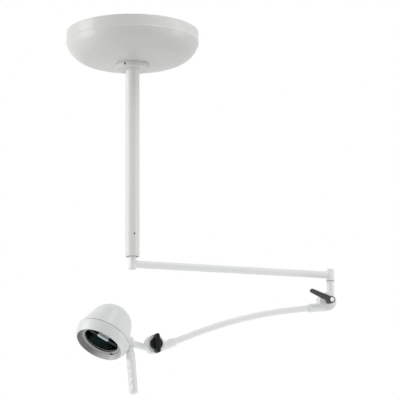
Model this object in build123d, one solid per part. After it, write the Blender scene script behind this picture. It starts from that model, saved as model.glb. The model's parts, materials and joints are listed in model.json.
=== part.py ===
"""Ceiling-mounted dental operating light, built as it comes apart on a bench.

Millimetres. Origin: centre of the canopy on the ceiling plane, +Z up, the light hangs to -Z.
+X runs along the horizontal swing arm at rest; both arms lie in the XZ plane.
The lamp head is drawn in its own frame (origin at the centre of the bezel lip, +Z out of its
back, +X towards the wrist) and then placed on the swivel axis of the wrist.
"""
from build123d import *
from math import atan2, cos, degrees, radians, sin, sqrt, tan
import os

# ---------------------------------------------------------------- driving dimensions
# clearances
running_gap = 0.05        # radial, pin or spindle in its bush
seat_gap = 0.05           # radial, piece fixed inside a bore
body_gap = 0.3            # between faces of pieces that move against each other

# ceiling plate and what is bolted to it
plate_radius = 150.0
plate_thickness = 6.0
anchor_circle_radius = 130.0
anchor_hole_radius = 5.5
anchor_count = 4
cable_hole_radius = 10.0       # for the supply cable, beside the terminal block
cable_hole_x = 95.0
cable_hole_y = 55.0
flange_radius = 62.0
flange_thickness = 8.0
flange_bolt_circle_radius = 46.0
flange_bolt_count = 4
flange_bolt_radius = 4.0
flange_bolt_length = 20.0
flange_socket_wall = 7.0
flange_socket_depth = 55.0
flange_stop = 4.0              # solid left between the top of the tube and the flange's face
set_bolt_radius = 4.0
set_bolt_inset = 14.0          # above the mouth of the flange socket

# drop tube and canopy
drop_length = 694.5       # ceiling to the bottom of the drop tube
drop_radius = 21.2
drop_wall = 2.6
lead_hole_radius = 7.0         # in the tube's side, for the leads from the transformer
lead_hole_z = -80.0
canopy_radius = 202.0
canopy_depth = 103.5
canopy_thickness = 2.0
canopy_crown_radius = 700.0
canopy_knuckle_radius = 75.0
canopy_knuckle_slope = 73.0    # degrees, slope of the dish where it meets the rim wall
canopy_rim_gap = 0.5           # shadow gap under the ceiling
canopy_rim_flare = 1.0         # how far the rim wall spreads out towards the ceiling
collar_radius = 51.0
collar_height = 13.0
collar_bore_gap = 0.1
collar_screw_radius = 3.5
collar_screw_recess = 8.0
collar_screw_angle = -135.0    # degrees about Z

# electrical pieces inside the canopy
transformer_radius = 42.0
transformer_bore_radius = 12.0
transformer_height = 38.0
transformer_x = -108.0
transformer_bolt_radius = 3.0
clamp_radius = 26.0
clamp_thickness = 2.0
terminal_x = 105.0
terminal_length = 62.0
terminal_width = 22.0
terminal_height = 20.0
terminal_ways = 5
terminal_screw_radius = 2.0

# swing spindle at the bottom of the drop tube
spindle_radius = 12.0
spindle_bore_radius = 6.5
spindle_drop = 36.0            # length of spindle below the drop tube
housing_length = 96.0
housing_inset = 1.0
bush_wall = 3.0
bush_length = 20.0
bush_flange_radius = 16.4
bush_flange = 2.0
stop_screw_height = 67.0       # above the bottom of the drop tube
stop_screw_radius = 2.5
stop_pin_radius = 2.0
stop_reach = 2.3               # how far the stop pin stands out of the spindle
circlip_thickness = 1.5
circlip_depth = 1.0
circlip_width = 3.0

# swing arm
arm_length = 640.0             # drop axis to elbow post axis
arm_drop = 22.5                # arm centreline below the bottom of the drop tube
arm_radius = 11.1
arm_wall = 2.0
end_socket_radius = 12.3
end_socket_above = 16.0        # above the arm centreline
end_socket_below = 18.5        # below the arm centreline
end_cap_thickness = 2.0
end_cap_spigot = 3.0

# swivel between the swing arm and the elbow post
pin_radius = 6.5
pin_bore_radius = 3.5
swivel_bush_wall = 2.0
swivel_bush_length = 10.0
washer_thickness = 1.6
post_radius = 11.4
post_length = 64.0             # elbow pivot to the swivel washer
pin_engagement = 24.0          # swivel pin inside the post

# friction hinges (the same casting pattern at elbow and wrist)
disc_radius = 28.0
disc_thickness = 14.0
friction_thickness = 1.5
friction_radius = 25.0
sleeve_radius = 13.0
sleeve_length = 63.0           # pivot to the mouth of an arm sleeve
sleeve_stop = 30.0             # pivot to the bottom of an arm socket
hinge_bolt_radius = 5.0
hinge_head_radius = 9.0
hinge_head_depth = 5.0
casting_round = 1.5
tube_pin_radius = 2.0
tube_pin_inset = 10.0          # sleeve mouth to its cross pin

# lower arm
lower_radius = 9.5
lower_wall = 1.8
lower_slope = 7.7              # degrees below horizontal at the elbow
lower_bend = 15.0              # degrees turned along the arc
lower_bend_radius = 1350.0
lower_straight_elbow = 101.0   # pivot to the start of the arc
lower_straight_wrist = 123.0   # end of the arc to the wrist pivot

# clamp lever at the elbow
lever_angle = 158.5            # degrees from +X towards +Z
lever_reach = 68.0             # hub axis to the centre of the rounded tip
lever_hub_radius = 10.5
lever_hub_height = 30.0
lever_arm_width = 15.0
lever_tip_width = 12.5
lever_arm_thickness = 11.0
lever_screw_radius = 6.5
lever_screw_height = 3.0
lever_screw_shank_radius = 2.5
lever_screw_shank = 12.0

# wing knob at the wrist
knob_radius = 19.0
knob_base_height = 13.0
knob_wing_length = 58.0
knob_wing_width = 17.0
knob_wing_tip_width = 13.0
knob_wing_height = 15.0
knob_turn = 94.0               # degrees from +X towards +Z, direction of the wings

# wrist to lamp head
yoke_rise = 12.8               # degrees above horizontal, towards the head
yoke_radius = 10.0
head_distance = 156.0          # wrist pivot to the head axis, along the yoke
head_spindle_radius = 6.5
head_spindle_bore = 3.5
head_roll = 15.0               # degrees, head turned about the yoke at rest

# lamp head, heights from the bezel lip
shell_taper = 17.5             # degrees, side of the rear shell; the yoke enters square to it
port_height = 35.0             # where the yoke axis crosses the head axis
lip_radius = 71.5
bezel_radius = 83.0
bezel_height = 31.5
bezel_wall = 2.2
seam_gap = 1.6
shell_radius = 82.2
shell_dome_radius = 60.0
shell_height = 136.0
shell_wall = 1.6
spigot_height = 6.0
spigot_wall = 2.0
cone_inner_radius = 64.3
cone_depth = 11.5
glass_radius = 60.0
glass_thickness = 4.0
glass_front = 16.0
gasket_width = 4.0
gasket_thickness = 1.5
seat_thickness = 2.5
ring_inner_radius = 56.5
ring_outer_radius = 62.3
ring_thickness = 2.6
clip_count = 2
clip_angle = 34.0              # degrees, first clip about the head axis
clip_width = 9.0
bezel_screw_radius = 1.6
bezel_screw_angle = -22.0      # degrees, first of two opposite screws
bezel_screw_height = 26.5

# optics
reflector_mouth_radius = 54.0
reflector_front = 26.0
reflector_depth = 56.0
reflector_wall = 1.4
reflector_throat_radius = 15.0
bulb_radius = 5.5
bulb_length = 30.0
bulb_pin_radius = 0.6
bulb_pin_spacing = 6.35
socket_radius = 11.0
socket_height = 20.0
carrier_thickness = 2.0
shield_radius = 20.0
shield_depth = 13.0
shield_wall = 1.0
shield_height = 33.0
bracket_width = 11.0
bracket_thickness = 2.0
bracket_height = 26.5
rib_count = 7
rib_pitch = 4.6
rib_radius = 1.3

# collar, hub and handle on the lamp head
head_collar_radius = 18.0
head_collar_height = 9.0
hub_neck_radius = 11.0
hub_neck_length = 13.0
hub_nut_radius = 16.0
hub_nut_height = 5.0
handle_tilt = 30.0             # degrees outwards from the head axis
handle_radius = 13.0
handle_length = 126.0
handle_top_radius = 94.3       # distance of the top of the handle from the head axis
handle_top_height = 30.0
handle_lug_radius = 10.5
handle_lug_length = 17.0
handle_stud_radius = 4.0
handle_stud_length = 60.0
handle_tip_round = 6.0
grip_wave_count = 4
grip_wave_pitch = 24.0
grip_wave_depth = 2.2
grip_wave_land = 4.0           # flat left between two waves

# rocker switch on the side of the lamp head away from the handle lug
switch_angle = 100.0           # degrees about the head axis
switch_height = 62.0
switch_length = 21.0
switch_width = 14.0
switch_depth = 17.0
switch_frame = 2.0
rocker_radius = 9.0
rocker_axle_radius = 1.2

# ---------------------------------------------------------------- derived places
arm_z = -(drop_length + arm_drop)
swivel_z = arm_z - end_socket_below
socket_offset = disc_radius - sleeve_radius
split_half = friction_thickness / 2 + body_gap / 2
elbow = Vector(arm_length - socket_offset, 0, swivel_z - washer_thickness - post_length)
elbow_slope = radians(lower_slope)
wrist_slope = radians(lower_slope + lower_bend)


def heading(angle):
    """Unit vector in the XZ plane that runs towards -X and down by the angle."""
    return Vector(-cos(angle), 0, -sin(angle))


def below(angle):
    """Unit vector square to heading(angle), on its lower side."""
    return Vector(sin(angle), 0, -cos(angle))


arc_start = elbow + below(elbow_slope) * socket_offset + heading(elbow_slope) * lower_straight_elbow
arc_end = arc_start + Vector(
    -lower_bend_radius * (sin(wrist_slope) - sin(elbow_slope)), 0,
    -lower_bend_radius * (cos(elbow_slope) - cos(wrist_slope)))
wrist = arc_end + heading(wrist_slope) * lower_straight_wrist - below(wrist_slope) * socket_offset

yoke_dir = heading(-radians(yoke_rise))
yoke_foot = wrist + below(-radians(yoke_rise)) * socket_offset
head_cross = yoke_foot + yoke_dir * head_distance


def head_frame():
    """Location of the lamp head's own frame, turned about the yoke by head_roll."""
    lean = radians(yoke_rise + shell_taper)
    side = Vector(cos(lean), 0, -sin(lean))
    back = Vector(sin(lean), 0, cos(lean))
    upright = Plane(origin=head_cross - back * port_height, x_dir=side, z_dir=back)
    turn_axis = Axis(head_cross, yoke_dir)
    turned_origin = Vertex(*upright.origin).rotate(turn_axis, head_roll).center()
    turned_x = Vertex(*(upright.origin + side)).rotate(turn_axis, head_roll).center() - turned_origin
    turned_z = Vertex(*(upright.origin + back)).rotate(turn_axis, head_roll).center() - turned_origin
    return Plane(origin=turned_origin, x_dir=turned_x, z_dir=turned_z).location


in_head = head_frame()


# ---------------------------------------------------------------- shared helpers
def rod(radius, low, high):
    """Cylinder on Z between two heights."""
    return Pos(0, 0, low) * Cylinder(radius, high - low, align=(Align.CENTER, Align.CENTER, Align.MIN))


def ring(outer, inner, low, high):
    """Hollow cylinder on Z between two heights."""
    return rod(outer, low, high) - rod(inner, low - 1, high + 1)


def hexagon(across_flats, low, high):
    """Hexagonal prism on Z between two heights."""
    outline = RegularPolygon(across_flats / 2, 6, major_radius=False)
    return Pos(0, 0, low) * extrude(outline, amount=high - low)


def turned(points):
    """Solid of revolution about Z from a closed outline of (radius, height) points."""
    outline = Polyline(*[(radius, 0, height) for radius, height in points], close=True)
    return revolve(make_face(outline), Axis.Z)


def lathe(*lines):
    """Solid of revolution about Z from lines and arcs that close an outline in the XZ plane."""
    edges = [edge for line in lines for edge in line.edges()]
    return revolve(make_face(edges), Axis.Z)


def spread(count, radius, start=0.0):
    """Locations on a circle about Z, each turned to face outwards."""
    return [Rot(0, 0, start + 360 / count * index) * Pos(radius, 0, 0) for index in range(count)]


def radial(angle, height):
    """Location whose Z points outwards from the Z axis at an angle and a height."""
    return Pos(0, 0, height) * Rot(0, 0, angle) * Rot(0, 90, 0)


def aim(point, direction, side=None):
    """Location at a point with its Z along the direction, and its X along side if given."""
    return Plane(origin=point, x_dir=side, z_dir=direction).location


# ---------------------------------------------------------------- ceiling mount
def ceiling_plate():
    plate = rod(plate_radius, -plate_thickness, 0)
    plate -= Pos(cable_hole_x, cable_hole_y, 0) * rod(cable_hole_radius, -plate_thickness - 1, 1)
    for spot in spread(anchor_count, anchor_circle_radius, 45):
        plate -= spot * rod(anchor_hole_radius, -plate_thickness - 1, 1)
    for spot in spread(flange_bolt_count, flange_bolt_circle_radius, 45):
        plate -= spot * rod(flange_bolt_radius + seat_gap, -plate_thickness - 1, 1)
    plate -= Pos(transformer_x, 0, 0) * rod(transformer_bolt_radius + seat_gap, -plate_thickness - 1, 1)
    for side in (-1, 1):
        spot = Pos(terminal_x, side * terminal_screw_y(), 0)
        plate -= spot * rod(terminal_screw_radius + seat_gap, -plate_thickness - 1, 1)
    return plate


def tube_flange():
    top = -plate_thickness
    bottom = top - flange_thickness
    socket_radius_outer = drop_radius + flange_socket_wall
    flange = rod(flange_radius, bottom, top) + rod(socket_radius_outer, top - flange_socket_depth, top)
    flange -= rod(drop_radius + seat_gap, top - flange_socket_depth - 1, top - flange_stop)
    for spot in spread(flange_bolt_count, flange_bolt_circle_radius, 45):
        flange -= spot * rod(flange_bolt_radius + 0.5, bottom - 1, top + 1)
    for angle in set_bolt_angles():
        flange -= radial(angle, set_bolt_z()) * rod(set_bolt_radius + seat_gap, 0, flange_radius)
    return flange


def tube_top():
    return -plate_thickness - flange_stop - seat_gap


def set_bolt_z():
    return -plate_thickness - flange_socket_depth + set_bolt_inset


def set_bolt_angles():
    return (0, 180)


def flange_bolts():
    head_top = -plate_thickness - flange_thickness
    bolt = rod(flange_bolt_radius, head_top, head_top + flange_bolt_length - 8)
    bolt += hexagon(13, head_top - 5.3, head_top)
    return [spot * bolt for spot in spread(flange_bolt_count, flange_bolt_circle_radius, 45)]


def tube_set_bolts():
    """Two bolts through the flange socket that carry the drop tube."""
    inner = drop_radius - drop_wall - 4
    seat = drop_radius + flange_socket_wall
    bolt = rod(set_bolt_radius, inner, seat) + hexagon(13, seat + 0.6, seat + 6)
    bolt += rod(set_bolt_radius, seat, seat + 1)
    return [radial(angle, set_bolt_z()) * bolt for angle in set_bolt_angles()]


def drop_tube():
    tube = ring(drop_radius, drop_radius - drop_wall, -drop_length, tube_top())
    for angle in set_bolt_angles():
        tube -= radial(angle, set_bolt_z()) * rod(set_bolt_radius + seat_gap, 5, drop_radius + 5)
    tube -= radial(-90, stop_screw_z()) * rod(stop_screw_radius + seat_gap, 5, drop_radius + 5)
    return tube - radial(180, lead_hole_z) * rod(lead_hole_radius, 5, drop_radius + 5)


def dish_outline(offset):
    """Arcs of the canopy from its axis to its rim, moved inwards by an offset."""
    crown_radius = canopy_crown_radius - offset
    knuckle_radius = canopy_knuckle_radius - offset
    knuckle_x = (canopy_radius - canopy_rim_flare
                 - canopy_knuckle_radius * sin(radians(canopy_knuckle_slope)))
    crown_angle = degrees(atan2(knuckle_x, sqrt(
        (canopy_crown_radius - canopy_knuckle_radius) ** 2 - knuckle_x ** 2)))
    crown = JernArc(
        start=(0, -canopy_depth + offset), tangent=(1, 0), radius=crown_radius, arc_size=crown_angle)
    knuckle = JernArc(
        start=crown @ 1, tangent=crown % 1, radius=knuckle_radius,
        arc_size=canopy_knuckle_slope - crown_angle)
    return crown, knuckle


def canopy_cover():
    crown, knuckle = dish_outline(0)
    inner_crown, inner_knuckle = dish_outline(canopy_thickness)
    rim = (canopy_radius, -canopy_rim_gap)
    inner_rim = (canopy_radius - canopy_thickness, -canopy_rim_gap)
    outline = Wire([
        crown, knuckle, Line(knuckle @ 1, rim), Line(rim, inner_rim),
        Line(inner_rim, inner_knuckle @ 1), inner_knuckle, inner_crown,
        Line(inner_crown @ 0, crown @ 0)])
    dish = revolve(Plane.XZ * make_face(outline), Axis.Z)
    return dish - rod(drop_radius + 1.0, -canopy_depth - 5, 0)


def canopy_under(radius):
    """Height of the outside of the canopy's crown at a radius."""
    return -canopy_depth + canopy_crown_radius - sqrt(canopy_crown_radius ** 2 - radius ** 2)


def canopy_collar():
    top = canopy_under(0)
    bottom = canopy_under(0) - collar_height
    collar = rod(collar_radius, bottom, top + 1)
    collar = fillet(collar.edges().filter_by(GeomType.CIRCLE).group_by(Axis.Z)[0], 4.0)
    crown_ball = Pos(0, 0, -canopy_depth + canopy_crown_radius) * Sphere(canopy_crown_radius + seat_gap)
    collar -= crown_ball
    collar -= rod(drop_radius + collar_bore_gap, bottom - 1, top + 5)
    hole = rod(collar_screw_radius + seat_gap, 0, collar_radius + 5)
    return collar - radial(collar_screw_angle, collar_screw_z()) * hole


def collar_screw_z():
    return -canopy_depth - collar_height / 2 + 1.5


def grub_screw(radius, length, key):
    """Headless screw along Z from 0, with a hexagon socket in its outer end."""
    screw = rod(radius, 0, length)
    return screw - hexagon(key, length - min(4.0, length / 2), length + 1)


def collar_set_screw():
    start = drop_radius + 0.05
    length = collar_radius - start - collar_screw_recess
    return radial(collar_screw_angle, collar_screw_z()) * Pos(0, 0, start) * grub_screw(
        collar_screw_radius, length, 3)


# ---------------------------------------------------------------- electrical pieces
def transformer():
    top = -plate_thickness
    core = ring(transformer_radius, transformer_bore_radius, top - transformer_height, top)
    rims = core.edges().filter_by(GeomType.CIRCLE)
    core = fillet(rims.filter_by(lambda edge: edge.radius > transformer_bore_radius + 1), 8.0)
    return Pos(transformer_x, 0, 0) * core


def transformer_bolt():
    """Dished clamp washer and bolt that hold the transformer, turned as one piece."""
    bottom = -plate_thickness - transformer_height
    clamp = rod(clamp_radius, bottom - clamp_thickness, bottom)
    clamp += rod(transformer_bolt_radius, bottom, -1)
    clamp += hexagon(10, bottom - clamp_thickness - 4, bottom - clamp_thickness)
    return Pos(transformer_x, 0, 0) * clamp


def terminal_screw_y():
    return terminal_length / 2 - 5


def terminal_block():
    top = -plate_thickness
    block = Pos(terminal_x, 0, top - terminal_height / 2) * Box(
        terminal_width, terminal_length, terminal_height)
    pitch = (terminal_length - 20) / terminal_ways
    for way in range(terminal_ways):
        y = (way - (terminal_ways - 1) / 2) * pitch
        entry = Pos(terminal_x, y, top - terminal_height / 2) * Rot(0, 90, 0)
        block -= entry * rod(2.2, -terminal_width, terminal_width)
        block -= Pos(terminal_x, y, 0) * rod(2.0, top - terminal_height - 1, top - terminal_height + 6)
    for side in (-1, 1):
        spot = Pos(terminal_x, side * terminal_screw_y(), 0)
        block -= spot * rod(terminal_screw_radius + seat_gap, top - terminal_height - 1, top + 1)
    return block


def terminal_block_screws():
    bottom = -plate_thickness - terminal_height
    screw = rod(terminal_screw_radius, bottom, -1) + rod(3.6, bottom - 2.4, bottom)
    screw -= Pos(0, 0, bottom - 2.4) * Box(8, 0.9, 2)
    return [Pos(terminal_x, side * terminal_screw_y(), 0) * screw for side in (-1, 1)]


# ---------------------------------------------------------------- swing spindle
def housing_bottom():
    return -drop_length + housing_inset


def stop_screw_z():
    return -drop_length + stop_screw_height


def bush_outer():
    return spindle_radius + running_gap + bush_wall


def spindle_housing():
    low = housing_bottom()
    high = low + housing_length
    housing = ring(drop_radius - drop_wall - seat_gap, bush_outer() + seat_gap, low, high)
    for z0, z1 in ((low - 1, low + bush_flange), (high - bush_flange, high + 1)):
        housing -= rod(bush_flange_radius + seat_gap, z0, z1)
    return housing - radial(-90, stop_screw_z()) * rod(stop_screw_radius + seat_gap, 5, drop_radius)


def bush(outer, bore, flange_outer, flange, length):
    """Flanged plain bush on Z with its flange face at 0 and its sleeve above."""
    return ring(outer, bore, 0, length) + ring(flange_outer, bore, 0, flange)


def spindle_bushes():
    low = housing_bottom()
    high = low + housing_length
    plain = bush(
        bush_outer(), spindle_radius + running_gap, bush_flange_radius, bush_flange, bush_length)
    return [Pos(0, 0, low) * plain, Pos(0, 0, high) * Rot(180, 0, 0) * plain]


def swing_stop_screw():
    tip = spindle_radius + 0.7
    length = drop_radius - 0.8 - tip
    return radial(-90, stop_screw_z()) * Pos(0, 0, tip) * grub_screw(stop_screw_radius, length, 2.5)


def spindle_top():
    return housing_bottom() + housing_length + body_gap + circlip_thickness + 3


def circlip(groove_radius, z):
    """Retaining ring on Z whose lower face is at z, with a gap between its ends."""
    clip = ring(groove_radius + circlip_width, groove_radius + seat_gap, z, z + circlip_thickness)
    return clip - Pos(groove_radius + circlip_width / 2, 0, z) * Box(circlip_width + 4, 5, 6)


def spindle_circlip_z():
    return housing_bottom() + housing_length + body_gap


def swing_spindle():
    bottom = -(drop_length + spindle_drop)
    spindle = rod(spindle_radius, bottom, spindle_top())
    spindle = chamfer(spindle.edges().filter_by(GeomType.CIRCLE), 0.8)
    spindle -= rod(spindle_bore_radius, bottom - 1, spindle_top() + 1)
    spindle -= rod(spindle_radius - 3, bottom - 1, bottom + 6)
    z = spindle_circlip_z()
    spindle -= ring(spindle_radius + 1, spindle_radius - circlip_depth, z, z + circlip_thickness)
    spindle -= radial(0, arm_z) * rod(arm_radius - arm_wall, 0, spindle_radius + 5)
    spindle -= radial(90, stop_screw_z()) * rod(stop_pin_radius + seat_gap, 0, spindle_radius + 1)
    return spindle


def swing_stop_pin():
    reach = spindle_radius + stop_reach
    return radial(90, stop_screw_z()) * rod(stop_pin_radius, spindle_bore_radius + 0.5, reach)


def spindle_circlip():
    return circlip(spindle_radius - circlip_depth, spindle_circlip_z())


def spindle_plug():
    """Domed plug that closes the bottom of the hollow spindle."""
    bottom = -(drop_length + spindle_drop)
    plug = rod(spindle_radius - 0.6, bottom - 2, bottom)
    plug += rod(spindle_radius - 3 - seat_gap, bottom, bottom + 5)
    return fillet(plug.edges().filter_by(GeomType.CIRCLE).group_by(Axis.Z)[0], 1.2)


# ---------------------------------------------------------------- swing arm
def swing_arm_tube():
    """Horizontal tube, coped at both ends to sit on the spindle and on the end socket."""
    lying = Pos(0, 0, arm_z) * Rot(0, 90, 0)
    tube = lying * ring(arm_radius, arm_radius - arm_wall, 0, arm_length)
    tube -= rod(spindle_radius + seat_gap, arm_z - 20, arm_z + 20)
    tube -= Pos(arm_length, 0, 0) * rod(end_socket_radius + seat_gap, arm_z - 20, arm_z + 20)
    return tube


def swivel_bush_outer():
    return pin_radius + running_gap + swivel_bush_wall


def arm_end_socket():
    low = swivel_z
    high = arm_z + end_socket_above
    socket = ring(end_socket_radius, swivel_bush_outer() + seat_gap, low, high)
    socket -= rod(end_socket_radius - 2, high - end_cap_spigot, high + 1)
    socket = Pos(arm_length, 0, 0) * socket
    return socket - radial(0, arm_z) * rod(
        arm_radius - arm_wall, arm_length - end_socket_radius - 2, arm_length)


def arm_end_cap():
    high = arm_z + end_socket_above
    cap = rod(end_socket_radius, high, high + end_cap_thickness)
    cap = fillet(cap.edges().filter_by(GeomType.CIRCLE).group_by(Axis.Z)[-1], 1.2)
    cap += rod(end_socket_radius - 2 - seat_gap, high - end_cap_spigot + 0.5, high)
    return Pos(arm_length, 0, 0) * cap


def swivel_bush_zs():
    """Lower ends of the two bushes inside the end socket."""
    low = swivel_z
    high = arm_z + end_socket_above - end_cap_spigot - circlip_thickness - 4 - body_gap
    return low, high - swivel_bush_length


def swivel_bushes():
    sleeve = ring(swivel_bush_outer(), pin_radius + running_gap, 0, swivel_bush_length)
    return [Pos(arm_length, 0, z) * sleeve for z in swivel_bush_zs()]


# ---------------------------------------------------------------- elbow post
def swivel_clip_z():
    return swivel_bush_zs()[1] + swivel_bush_length + body_gap


def swivel_pin():
    low = swivel_z - washer_thickness - pin_engagement
    high = swivel_clip_z() + circlip_thickness + 1.5
    pin = ring(pin_radius, pin_bore_radius, low, high)
    z = swivel_clip_z()
    pin -= ring(pin_radius + 1, pin_radius - circlip_depth, z, z + circlip_thickness)
    return Pos(arm_length, 0, 0) * pin


def swivel_circlip():
    return Pos(arm_length, 0, 0) * circlip(pin_radius - circlip_depth, swivel_clip_z())


def swivel_washer():
    low = swivel_z - washer_thickness
    washer = ring(end_socket_radius, pin_radius + seat_gap, low, swivel_z - body_gap)
    return Pos(arm_length, 0, 0) * washer


# ---------------------------------------------------------------- friction hinges
def knuckle(stem_radius, stem_length, bore_radius, bore_start, cross_pin=False):
    """Half of a friction hinge: a disc with a stem that leaves it along +X.

    The hinge axis is Z and the joint splits at Z = 0; the disc lies on the +Z side. The stem is
    centred on the split, socket_offset to the +Y side, and is relieved where the other half turns.
    """
    disc = rod(disc_radius, split_half, split_half + disc_thickness)
    disc = fillet(disc.edges().filter_by(GeomType.CIRCLE), casting_round)
    stem_axis = Pos(0, socket_offset, 0) * Rot(0, 90, 0)
    stem = stem_axis * rod(stem_radius, 0, stem_length)
    stem = fillet(stem.edges().filter_by(GeomType.CIRCLE).group_by(Axis.X)[-1], 0.8)
    stem -= rod(disc_radius + 1.0, -disc_thickness * 2, split_half)
    stem -= Pos(-disc_radius, 0, 0) * Box(disc_radius * 2, disc_radius * 3, disc_thickness * 4)
    half = disc + stem
    half -= rod(hinge_bolt_radius + running_gap, -disc_thickness, disc_thickness * 2)
    half -= stem_axis * rod(bore_radius, bore_start, stem_length + 1)
    if cross_pin:
        half -= Pos(stem_length - tube_pin_inset, socket_offset, 0) * rod(
            tube_pin_radius + seat_gap, -stem_radius * 2, stem_radius * 2)
    return half


def hinge_frame(pivot, stem_direction, front):
    """Placement of a knuckle: front halves face -Y, rear halves face +Y."""
    return aim(pivot, (0, -1 if front else 1, 0), stem_direction)


def arm_knuckle():
    return knuckle(sleeve_radius, sleeve_length, lower_radius + seat_gap, sleeve_stop, cross_pin=True)


def elbow_rear_knuckle():
    """Rear half of the elbow with its upright post, counterbored for the head of the bolt."""
    bore_start = post_length - pin_engagement
    half = knuckle(post_radius, post_length, pin_radius + seat_gap, bore_start)
    half -= bolt_pocket()
    return hinge_frame(elbow, (0, 0, 1), front=False) * half


def bolt_pocket():
    face = split_half + disc_thickness
    return rod(hinge_head_radius + seat_gap, face - hinge_head_depth, face + 1)


def elbow_front_knuckle():
    return hinge_frame(elbow, heading(elbow_slope), front=True) * arm_knuckle()


def wrist_rear_knuckle():
    half = arm_knuckle() - bolt_pocket()
    return hinge_frame(wrist, heading(wrist_slope) * -1, front=False) * half


def wrist_front_knuckle():
    """Front half of the wrist with the short stem that carries the lamp head."""
    half = knuckle(yoke_radius, yoke_stem_end(), head_spindle_radius + seat_gap, yoke_stem_end() - 30)
    return hinge_frame(wrist, yoke_dir, front=True) * half


def friction_disc(pivot):
    """Fibre disc clamped between the halves, carried by the front half."""
    disc = ring(friction_radius, hinge_bolt_radius + seat_gap, -split_half + body_gap, split_half)
    return hinge_frame(pivot, (1, 0, 0), front=True) * disc


def hinge_bolt(pivot, front_length):
    """Bolt with its round head sunk in the rear half and its shank standing out of the front."""
    face = split_half + disc_thickness
    bolt = rod(hinge_bolt_radius, -face + 0.5, face + front_length)
    bolt += rod(hinge_head_radius, -face + 0.5, -face + hinge_head_depth)
    bolt -= hexagon(8, -face - 1, -face + 4)
    return hinge_frame(pivot, (1, 0, 0), front=True) * bolt


# ---------------------------------------------------------------- lower arm
def lower_arm_tube():
    start = elbow + below(elbow_slope) * socket_offset + heading(elbow_slope) * (sleeve_stop + 1)
    end = wrist + below(wrist_slope) * socket_offset - heading(wrist_slope) * (sleeve_stop + 1)
    first = Line(start, arc_start)
    middle = ThreePointArc(arc_start, arc_middle(), arc_end)
    last = Line(arc_end, end)
    path = Wire([first, middle, last])
    section = Plane(origin=start, z_dir=heading(elbow_slope)) * (
        Circle(lower_radius) - Circle(lower_radius - lower_wall))
    tube = sweep(section, path)
    for spot in tube_pin_spots():
        tube -= spot * rod(tube_pin_radius + seat_gap, -20, 20)
    return tube


def arc_middle():
    half = (elbow_slope + wrist_slope) / 2
    return arc_start + Vector(
        -lower_bend_radius * (sin(half) - sin(elbow_slope)), 0,
        -lower_bend_radius * (cos(elbow_slope) - cos(half)))


def tube_pin_spots():
    """Locations of the cross pins, Z along the hinge axes."""
    reach = sleeve_length - tube_pin_inset
    near = elbow + below(elbow_slope) * socket_offset + heading(elbow_slope) * reach
    far = wrist + below(wrist_slope) * socket_offset - heading(wrist_slope) * reach
    return [aim(near, (0, -1, 0)), aim(far, (0, -1, 0))]


def arm_socket_pins():
    half = sleeve_radius - 0.5
    return [spot * rod(tube_pin_radius, -half, half) for spot in tube_pin_spots()]


# ---------------------------------------------------------------- clamp lever and wing knob
def front_face():
    return split_half + disc_thickness + body_gap


def clamp_lever():
    """Moulded lever: a hub that screws on the elbow bolt and a tapering arm."""
    base = front_face()
    top = base + lever_hub_height
    hub = rod(lever_hub_radius - 2, base, top - lever_arm_thickness)
    hub += rod(lever_hub_radius, top - lever_arm_thickness - 4, top)
    arm_low = top - lever_arm_thickness
    outline = make_hull([
        *Circle(lever_arm_width / 2 + 2).edges(),
        *(Pos(lever_reach, 0) * Circle(lever_tip_width / 2)).edges()])
    arm = Pos(0, 0, arm_low) * extrude(outline, amount=lever_arm_thickness)
    arm = fillet(arm.edges().group_by(Axis.Z)[-1] + arm.edges().group_by(Axis.Z)[0], 3.0)
    lever = hub + arm
    lever -= rod(hinge_bolt_radius + seat_gap, base - 1, base + bolt_stand() + seat_gap)
    lever -= rod(lever_screw_shank_radius + seat_gap, top - lever_screw_shank, top + 1)
    return hinge_frame(elbow, lever_direction(), front=True) * lever


def lever_direction():
    return Vector(cos(radians(lever_angle)), 0, sin(radians(lever_angle)))


def bolt_stand():
    """How far a hinge bolt stands inside its lever or knob."""
    return 11.0


def lever_cap_screw():
    top = front_face() + lever_hub_height
    screw = rod(lever_screw_radius, top, top + lever_screw_height)
    screw = chamfer(screw.edges().filter_by(GeomType.CIRCLE).group_by(Axis.Z)[-1], 0.8)
    screw += rod(lever_screw_shank_radius, top - lever_screw_shank + 0.5, top)
    screw -= hexagon(4, top + 1, top + lever_screw_height + 1)
    return hinge_frame(elbow, lever_direction(), front=True) * screw


def wing_knob():
    """Round base with a raised bar across it, screwed on the wrist bolt."""
    base = front_face()
    top = base + knob_base_height
    body = rod(knob_radius, base, top)
    body = fillet(body.edges().filter_by(GeomType.CIRCLE).group_by(Axis.Z)[-1], 2.5)
    tip = knob_wing_length / 2 - knob_wing_tip_width / 2
    outline = make_hull([
        *Circle(knob_wing_width / 2).edges(),
        *(Pos(tip, 0) * Circle(knob_wing_tip_width / 2)).edges(),
        *(Pos(-tip, 0) * Circle(knob_wing_tip_width / 2)).edges()])
    wings = Pos(0, 0, base + 4) * extrude(outline, amount=knob_base_height - 4 + knob_wing_height)
    wings = fillet(wings.edges().group_by(Axis.Z)[-1], 3.0)
    knob = body + wings
    knob -= rod(hinge_bolt_radius + seat_gap, base - 1, base + bolt_stand() + seat_gap)
    direction = Vector(cos(radians(knob_turn)), 0, sin(radians(knob_turn)))
    return hinge_frame(wrist, direction, front=True) * knob


# ---------------------------------------------------------------- lamp head: casings
def cone_radius(height, wall=0.0):
    """Radius of the rear shell's tapered side at a height, moved inwards by a wall."""
    slope = tan(radians(shell_taper))
    return shell_radius - (height - bezel_height) * slope - wall / cos(radians(shell_taper))


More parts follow.
